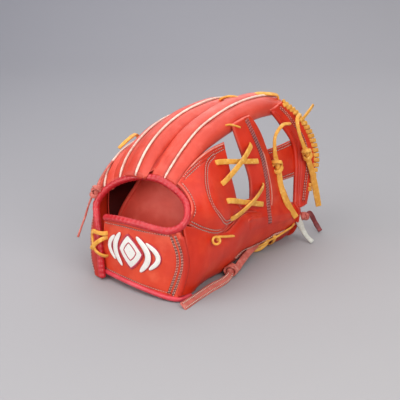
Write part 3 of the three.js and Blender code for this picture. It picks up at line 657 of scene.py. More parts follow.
lamp("key_light", (-350, -450, 1000), (1.0, 0.8), 6.2, (1.0, 0.99, 0.98))
lamp("right_light", (900, -300, 600), (0.9, 0.9), 10.5, (1.0, 0.985, 0.96))
lamp("front_light", (-400, -900, 300), (0.9, 0.6), 6, (1.0, 0.99, 0.98))
lamp("back_light", (-600, 900, 800), (1.6, 1.1), 9.3, (1.0, 0.99, 0.98))
lamp("top_light", (-50, 350, 1200), (1.3, 1.1), 6.0, (0.98, 0.99, 1.0))
world = bpy.data.worlds.new("studio")
world.use_nodes = True
world.node_tree.nodes["Background"].inputs["Color"].default_value = (0.93, 0.95, 1.0, 1)
world.node_tree.nodes["Background"].inputs["Strength"].default_value = 0.17
bpy.context.scene.world = world


def backdrop():
    """A pale floor that sweeps up behind the glove into a wall, with painted shade that greys it further back
    and to the left.
    """
    ahead = unit(np.array([FORWARD[0], FORWARD[1], 0]))
    profile = [(-1500, 0), (-600, 0), (0, 0), (500, 0), (900, 0)]
    sweep_up = np.linspace(0.15, math.pi / 2, 9)
    profile += [(900 + 400 * math.sin(q), 400 - 400 * math.cos(q)) for q in sweep_up]
    profile += [(1300, 900), (1300, 2000)]
    start = np.array(MIDDLE) * [1, 1, 0] + [0, 0, GROUND - 0.3]
    across = np.linspace(-2200, 2200, 9)
    points = [[start + ahead * a + RIGHT * x + [0, 0, z] for x in across] for a, z in profile]
    m = Nodes("backdrop_paper", Specular_IOR_Level=0.2)
    place = m.new("ShaderNodeSeparateXYZ", {"Vector": m.new("ShaderNodeNewGeometry").outputs["Position"]})
    away, sideways = (m.math("ADD", m.math("MULTIPLY", place.outputs["X"], float(way[0])),
                             m.math("MULTIPLY", place.outputs["Y"], float(way[1])))
                      for way in (ahead, RIGHT))
    reach = m.math("SUBTRACT", away, m.math("MULTIPLY", sideways, 0.9))
    # painted shade: the paper turns darker grey further back and to the left, where less light falls
    colour = m.mix(m.spread(reach, -0.4, 1.5), "A4A2A4", "8E8E96")
    colour = m.mix(m.spread(m.noise(180, 2), 0.3, 0.7, 0.0, 0.06), colour, "98969A")
    m.bumps((m.noise(1.5, 3), 0.1, 0.1))
    shape = Shape()
    shape.grid(np.array(points))
    shape.make("backdrop", m.out(colour, 0.9))


backdrop()


# ---------- free laces and their knots ----------
def wrap(shape, centre, axis, size, width, thick, turns, start, tilt, pitch=0.0):
    """A lace laid round an axis: size is its two half widths, tilt lifts one side and each turn climbs by
    pitch."""
    a = unit(np.cross(axis, [0.3, 0.2, 0.93] if abs(axis[2]) < 0.8 else [0.9, 0.3, 0.1]))
    b = np.cross(axis, a)
    q = start + np.linspace(0, 2 * np.pi * turns, int(28 * turns) + 2)
    path = centre + a * (np.cos(q) * size[0])[:, None] + b * (np.sin(q) * size[1])[:, None]
    path = path + axis * (tilt * np.cos(q) + pitch * (q - q[0]) / (2 * np.pi))[:, None]
    sweep(shape, path, a * math.cos(start) + b * math.sin(start), width, thick, sides=12, power=3)


def tied(name, centre, axis, size, width, material, body, slot):
    """An overhand knot: a bulging core with one turn over it and one below, pulled across each other."""
    shape = Shape()
    centre, axis = np.asarray(centre, float), unit(axis)
    r = size / 2
    path = even([centre + axis * r * k for k in (-1.05, -0.5, 0.5, 1.05)], 0.7)
    bulge = 1 - np.linspace(-1, 1, len(path)) ** 2
    sweep(shape, path, np.cross(axis, [0.5, 0.5, 0.1]), width * (0.8 + 0.35 * bulge),
          r * (0.9 + 0.3 * bulge), sides=14, power=2.4)
    wrap(shape, centre + axis * r * 0.42, axis, (r * 0.78, r * 0.7), width * 0.85, 1.9,
         turns=1.25, start=0.4, tilt=r * 0.34, pitch=0.8)
    wrap(shape, centre - axis * r * 0.45, axis, (r * 0.82, r * 0.72), width * 0.85, 1.9,
         turns=1.15, start=2.4, tilt=-r * 0.3, pitch=-0.6)
    wrap(shape, centre, unit(axis + np.array([0.7, -0.5, 0.2])), (r * 0.86, r * 0.76), width * 0.7, 1.7,
         turns=0.6, start=3.3, tilt=0.4)
    return finish(shape.make(name, material), body, slot, name)[0]


def steady(path, facing):
    """The facing direction at each point of a path, kept as it is while the path turns, and smoothed."""
    ahead, facing = tangents(path), np.asarray(facing, float)
    out = facing - ahead * (ahead @ facing)[:, None]
    blur = np.ones(9) / 9
    out = [np.convolve(np.pad(out[:, k], 4, mode="edge"), blur, "valid") for k in range(3)]
    out = unit(np.stack(out, -1))
    return unit(out - ahead * (out * ahead).sum(1)[:, None])


def free_lace(name, points, widths, material, body, slot, nodes, facing, ends=(), twist=None, stitched=0):
    """A loose lace end: a flat ribbon with softly rounded edges along its route. It
    keeps its facing, or turns by twist. Two rows of thread run along it from point number stitched on."""
    path = even(points, 0.8)
    if twist is None:
        out = steady(path, facing)
    else:
        out = facings(path, facing)
        q = np.linspace(0, twist, len(path))[:, None]
        out = out * np.cos(q) + np.cross(tangents(path), out) * np.sin(q)
    run = np.linspace(0, 1, len(path))
    width = widths[0] + (widths[1] - widths[0]) * np.clip(run * 3 - 1, 0, 1)
    obj = swept(name, material, path, out, width * (0.96 + 0.05 * np.sin(run * 19 + widths[0])),
                2.1 + 0.15 * np.sin(run * 27), sides=16, power=3.6)
    if stitched:
        threads = Shape()
        side = np.cross(tangents(path), out)
        for k in (-0.29, 0.29):
            line = path + side * (k * width)[:, None] + out * 1.05
            stitch_row(threads, line[stitched:], out[stitched:], 2.6, 1.5)
        ends = [*ends, *finish(threads.make(name + "_stitches", PALE_THREAD), body, slot)]
    finish(obj, body, slot, *nodes)


RIM_KNOT, OUTER_KNOT, EDGE_KNOT = (-25, 183.8, 88.6), (-20, 234.5, 91.5), (-5.5, 80, 1.7)
LEFT_KNOT, TIP_KNOT = (-127, 2, 84), (-14, 222.5, 19.2)
rim_knot = tied("rim_tail_knot", RIM_KNOT, (0.1, 0.1, -1), 15, 5.2, LACE, ROOT, "lace")
free_lace("rim_tail", [
    (-41, 221, 125.5), (-34, 219, 127), (-31, 201, 130), (-28.5, 184, 121), (-26, 180.5, 105),
    (-25.3, 182.3, 94.5), RIM_KNOT, (-22, 183, 83), (-19, 183.6, 66.2), (-13, 189.1, 44.4), (-8, 199.5, 26),
], (4, 7.2), LACE, ROOT, "lace", ["rim_tail_upper", "rim_tail"], VIEWER, [rim_knot])
outer_knot = tied("outer_tail_knot", OUTER_KNOT, (0.1, 0.3, -1), 13, 5, LACE, ROOT, "lace")
free_lace("outer_tail", [
    (-38, 241, 127), (-31, 234, 135.5), (-26.5, 222.5, 132.5), (-22.5, 221.5, 118), (-20.5, 227.5, 103),
    OUTER_KNOT, (-19, 237, 82), (-17, 242, 67.7), (-13.5, 245.5, 46), (-11, 249.5, 24.8),
], (4.2, 7.4), LACE, ROOT, "lace", ["outer_tail_upper", "outer_tail"], VIEWER, [outer_knot])
free_lace("outer_tail_stub", [(-34, 241, 125), (-35, 251, 129.5), (-36, 262, 134.5), (-37, 269, 138)],
          (4, 4.4), LACE, ROOT, "lace", ["outer_tail_stub"], (0.9, 0, 0.2), twist=0.4)
edge_knot = tied("thumb_edge_knot", EDGE_KNOT, (0.1, -1, 0.05), 13, 6.5, RED_LACE, THUMB, "red_lace")
free_lace("thumb_edge_tail", [
    (-24, 150, 8.4), (-19.5, 138, 7.2), (-14, 118, 5.6), (-9, 99, 2.6), (-6.2, 88.5, 0.3),
    EDGE_KNOT, (-3, 72, -1.6), (0.4, 60.8, -2), (1.5, 34.7, -2.4), (5.2, 6.3, -2.4), (8.1, -15.6, -2.4),
], (7.6, 9.2), RED_LACE, THUMB, "red_lace", ["thumb_edge_upper", "thumb_edge_tail"], (0.7, -0.2, 0.6),
    [edge_knot], twist=0.0, stitched=96)
left_knot = tied("binding_knot", LEFT_KNOT, (-0.3, -0.3, -0.9), 12, 5, RED_LACE, ROOT, "red_lace")
free_lace("binding_tail", [
    (-138, 38, 105.5), (-135, 27, 101.5), (-131.5, 15, 95.5), (-129, 6.5, 89.5), LEFT_KNOT,
    (-131.5, 1, 79), (-136, -1, 68), (-138, -5, 55), (-138.5, -11, 44), (-138, -16.8, 35),
], (4, 5.2), RED_LACE, ROOT, "red_lace", ["binding_strand", "binding_tail"], (-0.5, -0.3, 0.8), [left_knot],
    twist=0.5)
free_lace("pinky_tail", [(-150, 92, 117.5), (-146, 84, 124), (-142, 67.1, 122.5), (-145, 56, 115)],
          (5, 5), LACE, ROOT, "lace", ["pinky_tail"], (0.3, -0.3, 0.9), twist=0.3)
tip_knot = tied("thumb_tip_knot", TIP_KNOT, (0.2, 0.9, -0.3), 10, 5, RED_LACE, THUMB, "red_lace")
free_lace("thumb_tip_tail", [(-12, 228, 19.5), (-12, 233.6, 20.2), (-12, 240.2, 12), (-10, 244.2, 3.7),
                             (-4, 244.5, -3.3)],
          (5.8, 5.8), DARK_LACE, THUMB, "red_lace", ["thumb_tip_tail"], VIEWER, [tip_knot])
free_lace("thumb_tip_thong", [(-17, 214, 21.5), (-9, 210, 13.5), (-3.5, 209, 7), (2, 209.2, 1.2),
                              (8, 210.4, -3.4)],
          (7.8, 5.3), THONG, THUMB, "thong", ["thumb_tip_thong"], VIEWER)


# ---------- fixed laces ----------
def lace_points(holes, lifts, walls):
    """The route of a lace out of the first hole, across to the second, behind to the third and so on. holes
    are (place, direction), and walls are the leather's thickness at each."""
    turn, above = 2.2, LACE_THICK / 2 + 0.4
    p = [np.array(place, float) for place, _ in holes]
    n = [unit(direction) for _, direction in holes]
    points = [p[0] - n[0] * (walls[0] + turn)]
    for i in range(len(holes) - 1):
        front = i % 2 == 0
        a, b = (p[i + k] + n[i + k] * (above if front else -walls[i + k] - above) for k in (0, 1))
        ahead = unit(b - a)
        middle = (a + b) / 2 + unit(n[i] + n[i + 1]) * lifts[i]
        points += [p[i] - n[i] * walls[i] / 2, a + ahead * turn, middle, b - ahead * turn]
    return points + [p[-1] - n[-1] * walls[-1] / 2, p[-1] - n[-1] * (walls[-1] + turn)]


def ribbon(name, points, facing, width=LACE_WIDTH, thick=LACE_THICK):
    path = even(points, 0.8)
    run = np.linspace(0, 1, len(path))
    width = width * (0.97 + 0.03 * np.sin(run * 23))
    return swept(name, LACE, path, facing, width, thick, sides=16, power=3.4)


def through(name, holes, lifts, walls, facing, place=ROOT, **size):
    """A lace through holes in the leather."""
    finish(ribbon(name, lace_points(holes, lifts, walls), facing, **size), place, "lace", name)


def whip(name, rows, v, turns, reach, thickness, width):
    """A lace wound round a bar's far edge, lying flat on it all the way round."""
    per_turn = 26
    i = np.arange(turns * per_turn + 1)
    t = v[0] + (v[1] - v[0]) * i / (turns * per_turn)
    q = 2 * np.pi * i / per_turn + np.pi / 2
    one = np.ones_like(t)
    edge = sheet_point(rows, one, t)
    inward = unit(sheet_point(rows, 0.95 * one, t) - edge)
    normal = sheet_normals(sheet_point, rows, one, t)
    centre = edge - normal * thickness / 2 + inward * (reach / 2 - LACE_THICK)
    c, s = np.cos(q), np.sin(q)
    flat_c, flat_s = superellipse(c, s, 0.75)
    path = centre - inward * (flat_c * (reach / 2 + LACE_THICK / 2))[:, None]
    path = path + normal * (flat_s * (thickness / 2 + LACE_THICK / 2 + 0.3))[:, None]
    out = unit(normal * s[:, None] / thickness - inward * c[:, None] / reach)
    return swept(name, LACE, path, out, width, LACE_THICK, sides=14, power=3)


# ---------- the glove's shapes ----------
# The tables are the CAD source's, with these changes: the index finger is fuller above the crotch, and its
# seam runs further round it; the strap's lower edge hangs lower in its middle and by the thumb; the crotch's
# edge and the base bar's top rise further against the index finger. UNDER_PINKY is here alone.
DIGITS = {
    "index": dict(
        up=[0.25, -0.3, 0.92],
        ridge=[[-52, 25, 108.5], [-54, 54, 130], [-57, 86, 146], [-58, 118, 155], [-59, 152, 160],
               [-61, 198, 159], [-62, 240, 150]],
        half_width=[17, 19, 19.5, 19.5, 19.5, 19, 17],
        back=[5, 9, 11, 11.5, 11.5, 11, 9],
        front=[9, 11, 14, 15.5, 13, 11, 9],
        near_seam=[0, -5, -62, -78, -60, -50, -50]),
    "middle": dict(
        up=[0.03, -0.3, 0.95],
        ridge=[[-84, 16, 108.5], [-88, 38, 128], [-92, 64, 141.5], [-95, 98, 152], [-97, 134, 156.5],
               [-99, 168, 156], [-100, 208, 147]],
        half_width=[14.5, 16, 17, 17.5, 17.5, 17, 15.5],
        back=[5, 8, 10, 11, 11, 10.5, 9],
        front=[9, 11, 12, 12, 12, 11, 9]),
    "ring": dict(
        up=[-0.28, -0.3, 0.91],
        ridge=[[-108, 17, 99], [-115, 36, 114], [-121, 62, 127], [-126, 92, 136], [-129, 122, 140],
               [-130, 150, 138], [-130, 184, 128]],
        half_width=[11.5, 14, 16, 16.5, 16.5, 16, 14.5],
        back=[5, 8, 10, 10.5, 10.5, 10, 8.5],
        front=[8, 10, 11, 11, 11, 10, 9]),
    "pinky": dict(
        up=[-0.55, -0.3, 0.78],
        ridge=[[-123, 9, 86], [-134, 26, 98], [-142, 48, 107], [-149, 74, 112], [-153, 100, 113],
               [-155, 126, 108], [-155, 156, 97]],
        half_width=[10, 13, 15.5, 16.5, 16.5, 16, 14],
        back=[5, 8, 10, 10.5, 10.5, 10, 8.5],
        front=[8, 10, 11, 11, 11, 10, 9]),
    "thumb": dict(
        up=[0.94, 0, -0.33],
        ridge=[[-3, 55, 18], [-6, 84, 20], [-11, 112, 22.5], [-14, 140, 19], [-14, 168, 16],
               [-14, 196, 13.5], [-17, 230, 18]],
        half_width=[27.5, 30, 32, 28, 25.5, 23, 15],
        back=[10, 11, 12, 12, 12, 11, 10],
        front=[25, 20, 16, 13, 12, 12, 11]),
}
STRAP = [
    [[-110, -9, 1], [-75, -13.5, 0.5], [-40, -14.5, -1], [-7, -8, -3.5]],
    [[-107, -11, 33], [-75, -15, 35], [-38, -14, 36], [1, -3, 36]],
    [[-105, -10, 62], [-79, -13, 66], [-48, -13, 68], [-6, -4, 69]],
]
THUMB_HEEL = [
    [[-8, -4, -1], [-6, 14, -3], [-15, 36, -4.5], [-23, 53, -5]],
    [[2, -1, 36], [7, 16, 31], [4, 36, 24], [-4, 54, 19]],
    [[-6, 2, 76], [-2, 22, 67], [0, 42, 56], [-3, 54, 49]],
]
CROTCH = [
    [[-5, 6, 76], [-1, 25, 62.5], [0, 48, 52], [-7, 80, 55], [-15, 110, 62]],
    [[-4, 13, 89], [3, 38, 78], [-1, 64, 70], [-9, 88, 67], [-17, 105, 65]],
    [[-14, 20, 98], [-5, 44, 94], [-10, 68, 90], [-16, 89, 88], [-22, 103, 86]],
    [[-24, 23, 104], [-19, 46, 107], [-22, 70, 108], [-25, 89, 107], [-28, 103, 106]],
    [[-33, 24, 108], [-34, 42, 119], [-36, 62, 126], [-38.5, 84, 129.5], [-39, 107, 131]],
]
PINKY_TAB = [
    [[-118, -13.5, -5], [-112, -15, -5], [-106, -16, -5]],
    [[-129, -8, 11], [-119, -12, 12], [-109, -14, 14]],
    [[-132, -4, 38], [-122, -9, 38], [-113, -11, 38]],
    [[-128, -1.5, 64], [-124, -4, 60], [-118, -7, 56]],
]
PINKY_SIDE = [
    [[-118.5, -12, -5], [-125, 6, -5], [-127, 30, -5]],
    [[-131.5, -5, 30], [-139, 12, 30], [-141, 36, 28]],
    [[-129, -1, 62], [-145, 17, 61], [-152, 44, 56]],
    [[-124, 5, 80], [-145, 26, 84], [-158, 57, 70]],
]
UNDER_PINKY = [
    [[-125, 6, 79], [-146, 28, 83], [-158.5, 57, 70.5], [-162.5, 74, 74.5], [-147, 80.5, 90]],
    [[-127, 10, 80], [-144, 30, 85.5], [-157.5, 53, 81], [-161.5, 68, 86], [-148.5, 80, 95.5]],
    [[-126, 13, 81], [-137, 28, 86.5], [-144, 46, 90], [-149, 60, 93.5], [-142, 73, 98.5]],
]
PALM = [
    [[-128, 31, -5], [-105, 42, -5], [-75, 46, -5], [-40, 47, -5]],
    [[-141, 37, 26], [-110, 47, 24], [-75, 51, 22], [-40, 51, 22]],
    [[-152, 45, 55], [-115, 54, 55], [-75, 58, 54], [-40, 60, 52]],
    [[-159, 60, 68], [-122, 66, 83], [-79, 72, 90], [-38, 80, 86]],
    [[-163, 74, 74], [-131, 87, 104], [-84, 92, 117], [-36, 98, 112]],
]
CROTCH_PALM = [
    [[-39.5, 60, 50.5], [-33, 76, 50.5], [-26, 90, 50.5], [-18, 104, 50.5]],
    [[-38.5, 72, 70], [-33, 82, 70], [-27, 92, 70], [-21, 101, 70]],
    [[-37.5, 84, 92], [-33, 90, 92], [-30, 96, 92], [-26, 101, 92]],
    [[-36, 97, 112], [-34.5, 98.5, 112], [-33, 100, 112], [-32, 101.5, 112]],
]
BASE_BAR = [
    [[-19, 130, 44], [-15, 160, 43], [-19, 204, 40]],
    [[-21, 132, 60], [-16, 158, 60], [-22, 197, 60]],
    [[-25, 135, 84], [-20, 158, 85], [-26, 183, 84]],
    [[-31, 129, 112], [-26, 153, 113], [-32, 173, 112]],
    [[-38.5, 119, 147], [-37, 140, 151.5], [-39, 161, 151]],
]
TOP_BAR = [
    [[-20, 214, 29], [-16, 224, 29], [-17, 235, 29]],
    [[-25, 221, 50], [-20, 233, 50], [-19, 245, 51]],
    [[-30, 227, 78], [-24, 242, 78], [-21, 257, 78]],
    [[-34, 226, 104], [-30, 240, 105], [-28, 254, 107]],
    [[-39, 209, 129], [-38, 225, 131], [-38, 241, 132]],
    [[-43, 195, 147], [-45, 208, 149], [-47, 221, 151]],
]
CENTRE_BAR = [
    [[-27, 168, 66], [-24, 200, 65], [-24, 232, 64]],
    [[-29, 168, 85], [-26, 200, 85], [-28, 236, 85]],
    [[-33, 168, 106], [-31, 200, 106], [-34, 234, 106]],
]
OPENING = [
    [-104.5, -15.5, -2], [-107.5, -14, 14], [-111, -11.5, 38], [-116.5, -8, 56], [-121.5, -4.5, 64],
    [-124.5, -1, 71], [-122, 3.5, 80], [-115, 10, 89.5], [-103, 17, 97.5], [-84, 22, 104], [-62, 25, 106],
    [-45, 25, 103], [-26, 22, 97], [-12, 15, 90], [-6, 7, 81], [-8, -1, 73.5], [-18, -6.5, 69],
    [-34, -11, 69], [-51, -13.5, 70], [-79, -14, 68.5], [-101, -11.5, 64.5],
]


# ---------- digits ----------
DIGIT_POWER = 2.3
CAP_LENGTH = 20
SEAM_GAP = 0.3  # degrees between the two halves of a digit and the seam
WELT_ANGLE = 90.0
TUCK, TUCK_REACH = 3.5, 5  # how far a digit's base dips under the binding, and over which length
TRIM_ANGLE, TRIM_LENGTH = 55, 60  # how far round and how far up a digit the cut of its base reaches
DIGIT_EDGE = 1.2
FURROW, FURROW_LIP = 1.9, 4.5  # half width of the furrow beside a welt, and how far off its lip stands
GUSSET_RINGS = 55  # a gusset counts rings of its two fingers as shares of this many

Rings = namedtuple("Rings", "t path side out shrink inset")


class Digit:
    """A finger or the thumb: rings of a rounded section along a curved ridge, closed by a domed tip. Angles
    round it are in degrees, from its side by the thumb over its back."""

    def __init__(self, name):
        self.near_seam = [0] * 7
        self.__dict__.update(DIGITS[name])
        self.path = centripetal(self.ridge, 60)
        self.run = lengths(self.path)

    def rings(self, body=64, cap=18, inset=0.0, start=0.0):
        """Its rings from start on: body of them, then cap on its tip. resample reads the tangents by their
        own run, which is short, so all rings past the first face as the tip does. The CAD source's rings
        turn with the ridge."""
        end = self.run[-1] - inset
        cap_start = self.run[-1] - CAP_LENGTH
        places = np.r_[np.linspace(start * self.run[-1], cap_start, body, endpoint=False),
                       cap_start + (end - cap_start) * np.sin(np.linspace(0, np.pi / 2, cap))]
        shrink = np.sqrt(np.clip(1 - np.clip((places - cap_start) / (end - cap_start), 0, 1) ** 2, 0, 1))
        ahead = unit(resample(tangents(self.path), places))
        side = unit(np.cross(ahead, np.array(self.up, float)))
        t = np.clip(places / self.run[-1], 0, 1)
        return Rings(t, resample(self.path, places), side, unit(np.cross(side, ahead)), shrink, inset)

    def points(self, rings, q):
        """Points at angles q on the rings, with one row of q for each ring."""
        q = np.radians(q)
        back, front, half = (along(x, rings.t)[:, None] for x in (self.back, self.front, self.half_width))
        c, s = superellipse(np.cos(q), np.sin(q), 2 / DIGIT_POWER)
        x = (half - rings.inset) * rings.shrink[:, None] * c
        y = (np.where(np.sin(q) >= 0, back, front) - rings.inset) * rings.shrink[:, None] * s
        across = rings.side[:, None] * x[..., None]
        return rings.path[:, None] + across + rings.out[:, None] * (y - back)[..., None]

    def line(self, rings, q):
        """The line at angle q, which may change from ring to ring, and the direction that it faces."""
        q = np.broadcast_to(np.reshape(q, (-1, 1)), (len(rings.t), 1)).astype(float)
        points = self.points(rings, q)[:, 0]
        return points, unit(points - (rings.path - rings.out * along(self.back, rings.t)[:, None]))


def digit_panel(name, digit, wall, material, front=False, start=0.0, cols=46, trim=0.0):
    """The back or the front half of a digit, from start on. A back has a furrow for its sewn-in welt, with
    painted shade along it. trim cuts its base back by so many mm at its first edge."""
    rings = digit.rings(start=start)
    near, other = along(digit.near_seam, rings.t), 0 * rings.t + 180
    first, last = (other + SEAM_GAP, near + 360 - SEAM_GAP) if front else (near + SEAM_GAP, other - SEAM_GAP)
    mix = eased(cols)[None]
    q = first[:, None] * (1 - mix) + last[:, None] * mix
    outer, inner = digit.points(rings, q), digit.points(digit.rings(inset=wall, start=start), q)
    dip = TUCK * bump(lengths(outer[:, cols // 2]), TUCK_REACH) * (start == 0)
    tuck = rings.out[:, None] * dip[:, None, None]
    outer, inner = outer - tuck, inner - tuck
    if trim:
        share = np.clip(1 - (q[0] - q[0, 0]) / TRIM_ANGLE, 0, 1) ** 0.7
        for grid in (outer, inner):
            for k in np.nonzero(share)[0]:
                run = lengths(grid[:, k])
                places = run + trim * share[k] * np.clip(1 - run / TRIM_LENGTH, 0, 1)
                grid[:, k] = resample(grid[:, k], places)
    run = travelled(outer, 1)
    far = np.minimum(np.minimum(run, run[:, -1:] - run), lengths(outer[:, cols // 2])[:, None])
    roll = rounding(far, DIGIT_EDGE)
    roll[-1] = 1
    shrink = rings.shrink[:, None]
    lift = wrinkle(outer, 1.6) * 0.45 * shrink
    tone = 0.2 * bump(far, 1.3) * (shrink > 0.3)
    if not front:
        away = np.abs((q - WELT_ANGLE) / 90 * along(digit.half_width, rings.t)[:, None] * 1.25)
        lift = lift - bump(away, FURROW) + 0.45 * bump(away - FURROW_LIP, 2.6)
        # painted shade in the furrow beside the welt
        tone = tone - 0.5 * bump(away - 1.3, 0.8)
        lift = lift * np.minimum(1, shrink * 1.5)
    middle, half = (outer + inner) / 2, (outer - inner) / 2
    outside = middle + half * roll[..., None] + unit(half) * (lift * roll)[..., None]
    return two_sided(name, material, outside, middle - half * roll[..., None], tone)


def welt(name, digit):
    """The pale leather strip sewn into the seam along the back of a finger."""
    rings = digit.rings(body=90, cap=14)
    line, out = (x[:-3] for x in digit.line(rings, WELT_ANGLE))
    run = lengths(line)
    ends = np.arange(len(line)) + 2
    taper = np.minimum(1, np.minimum(ends, ends[::-1]) / 5)
    bead = 1 + 0.06 * np.sin(run * 1.9)
    line = line - out * (TUCK * bump(run, TUCK_REACH))[:, None]
    width, thick = 2.3 * taper * bead, 2.6 * taper
    return swept(name, WELT, line + out * 0.35, out[0], width, thick, sides=12, power=2.2)


def gusset(name, first, second):
    """The leather between two neighbouring fingers, from their bases up, hanging a little between them."""
    sides = []
    for finger, angle in ((first, 150.0), (second, 30.0)):
        digit = Digit(finger)
        rings = digit.rings(body=60, cap=10)
        sides.append(digit.line(rings, angle)[0] - rings.out * 1.2)
    grid = []
    for t in np.linspace(0.05, 0.5, 7):
        a, b = (side[int(round(t * GUSSET_RINGS))] for side in sides)
        sag = np.array([0, 0, 10 * min(1, t / 0.2)])
        grid.append([a * (1 - f) + b * f - sag * f * (1 - f) for f in (1.0, 0.75, 0.5, 0.25, 0.0)])
    return panel(name, np.array(grid), SHADE, low=-1.5, nu=24, nv=40, edge=0.5, ripple=0.2)


FINGERS = ("index", "middle", "ring", "pinky")
for name in FINGERS:
    digit = Digit(name)
    back = digit_panel(name + "_back", digit, DIGIT_WALL, FINGER_SHEEN, trim=9.0 if name == "middle" else 0.0)
    finish(back, ROOT, "shell", name + "_back")
    front = digit_panel(name + "_front", digit, PAD_WALL, SHADE, front=True, start=0.42, cols=40)
    finish(front, ROOT, "shell", name + "_front")
    finish(welt(name + "_welt", digit), ROOT, "welt", name + "_welt")
for first, second in zip(FINGERS, FINGERS[1:]):
    finish(gusset(first + "_gusset", first, second), ROOT, "shell")
under = panel("pinky_under", UNDER_PINKY, SHADE, low=-1.2, nu=60, nv=30, edge=0.8, ripple=0.3)
finish(under, ROOT, "shell")


# ---------- the thumb ----------
thumb = Digit("thumb")


def thumb_seam(low, high):
    """Where the outer leather is sewn to the palm's leather, low on the thumb's side."""
    rings = thumb.rings(body=120, cap=20)
    q = np.interp(rings.t, [0.1, 0.3, 0.41, 0.54, 0.65, 0.83, 1], [60, 71, 67, 71, 83, 86, 86])
    line, out = (x[(rings.t > low) & (rings.t < high)] for x in thumb.line(rings, q))
    run = lengths(line)
    places = np.linspace(0, run[-1], int(run[-1]))
    return resample(line, places), unit(resample(out, places, run))


def thumb_back():
    """The outer leather of the thumb and its heel as one piece, in columns from the heel to the tip."""
    up = eased(30, 0.6)
    heel = sheet_grid(THUMB_HEEL, np.array([0.0, 0.15, 0.3, 0.45, 0.6]), up).transpose(1, 0, 2)
    rings = thumb.rings(body=81, cap=6)
    q = np.repeat((SEAM_GAP + (180 - 2 * SEAM_GAP) * up)[None], len(rings.t), 0)
    body = thumb.points(rings, q)[np.r_[8:81:9, 81:87]]  # every ninth ring, and all of the tip's
    columns = np.concatenate([heel[:1] + [-6.0, 2.2, 0.0], heel, body], 0)
    steps = np.r_[0, 0.0008, 0.003, 0.007, np.linspace(0.012, 1, 150)]
    outer = along(along(columns, steps).transpose(1, 0, 2), eased(60)).transpose(1, 0, 2)
    normal = -unit(np.cross(np.gradient(outer, axis=1), np.gradient(outer, axis=0)))
    run = travelled(outer, 1)
    far = np.minimum(np.minimum(run, run[:, -1:] - run), travelled(outer, 0))
    threads = Shape()
    # shade paints the palm's leather below the seam darker, as the shade under the outer leather's edge
    seam = Seam(thumb_seam(0.2, 0.9), rows=(-1.8,), step=-1.1, shade=0.35)
    lift, tone = wrinkle(outer, 1.6) * 0.3, 0.2 * bump(far, WORN)
    lift, tone = sewn([(seam, *seam.line)], outer, lift, tone, threads)
    roll = rounding(far, 1.3)
    half = DIGIT_WALL / 2
    middle = outer - normal * half
    outside = middle + normal * (half * roll + lift * roll)[..., None]
    inside = middle - normal * (half * roll)[..., None]
    return two_sided("thumb_back", SHELL, outside, inside, tone, threads)


def edging(name, path, out, width, thick, material=PALE_EDGE):
    """A narrow folded edge sewn along a line, facing out at each point."""
    return swept(name, material, path, out, width, thick, sides=10, power=2.2)


finish(thumb_back(), THUMB_BEND, "shell", "thumb_back", "thumb_heel")
line, out = thumb_seam(0.22, 0.88)
finish(edging("thumb_edge_piping", line + out * 0.1, out, 1.7, 1.3), THUMB, "shell")
finish(digit_panel("thumb_front", thumb, PAD_WALL, SHADE, front=True), THUMB, "shell", "thumb_front")


# ---------- panels of the hand ----------
def plain(name, rows, material, place=ROOT, slot="shell", **settings):
    """A panel that stands for the CAD node of its name."""
    return finish(panel(name, rows, material, **settings), place, slot, name)[0]


def level(t, *places):
    """A line across a sheet at one height, through places."""
    return [(s, t) for s in places]


def upright(s, *heights):
    """A line up a sheet at one place, through heights."""
    return [(s, t) for t in heights]


def piping(name, rows, line, wide, material, lift=0.3):
    """A folded edge along a line on a sheet, tapering to both ends."""
    path, out = on_sheet(rows, line, lift=lift)
    count = np.arange(len(path))
    taper = np.clip(np.minimum(count, count[::-1]) / 4, 0.2, 1)
    return edging(name, path, out, wide * taper, wide * 0.8 * taper, material)


plain("wrist_strap", STRAP, STRAP_LEATHER, nu=120, nv=70, ripple=0.35, seams=[
    Seam(level(0.925, 0.02, 0.3, 0.6, 0.93), groove=0.3),
    Seam(level(0.075, 0.02, 0.3, 0.6, 0.93), groove=0.3),
    Seam([(0.935, 0.95), (0.95, 0.7), (0.945, 0.4), (0.92, 0.04)], rows=(-3.1, -1.6, 1.6, 3.1), step=0.5),
])
plain("strap_lining", STRAP, LINING_LEATHER, slot="lining", low=-6.4, high=-LEATHER - LAYER_GAP,
      u=(0.06, 0.9), v=(0.15, 0.9), edge=1.2)
plain("crotch_panel", CROTCH, SHELL, CROTCH_BEND, nu=130, nv=120, seams=[
    Seam([(0.1, 0.955), (0.34, 0.945), (0.68, 0.945), (0.97, 0.95)], rows=(-1.3, 1.6), groove=0.4),
    Seam([(0.75, 0.93), (0.5, 0.88), (0.31, 0.73), (0.23, 0.53), (0.26, 0.35), (0.44, 0.2), (0.74, 0.07)],
         rows=(-1.6, 1.6), groove=0.45, step=0.7),
    Seam([(0.03, 0.045), (0.25, 0.045), (0.5, 0.055), (0.7, 0.05)], rows=(-1.4, 1.6), groove=0.4),
    Seam([(0.045, 0.93), (0.035, 0.7), (0.035, 0.4), (0.04, 0.1)]),
])
line, out = on_sheet(CROTCH, level(0.985, 0.3, 0.5, 0.75, 0.97), lift=0.2)
finish(edging("crotch_edge_piping", line, out, 1.4, 1.2), CROTCH_BEND, "shell")
plain("pinky_tab", PINKY_TAB, SHADE, nu=30, nv=60, seams=[Seam(upright(0.12, 0.06, 0.5, 0.94))])
plain("pinky_side", PINKY_SIDE, SHADE, flip=-1, nu=50, nv=60)
plain("palm_leather", PALM, SHELL, flip=-1, nu=90, nv=80, ripple=0.5, seams=[
    Seam([(0.08, 0.3), (0.3, 0.42), (0.55, 0.47), (0.92, 0.42)], rows=(-1.4, 1.4), groove=0.5),
])
plain("crotch_palm", CROTCH_PALM, SHELL, CROTCH_BEND, flip=-1)

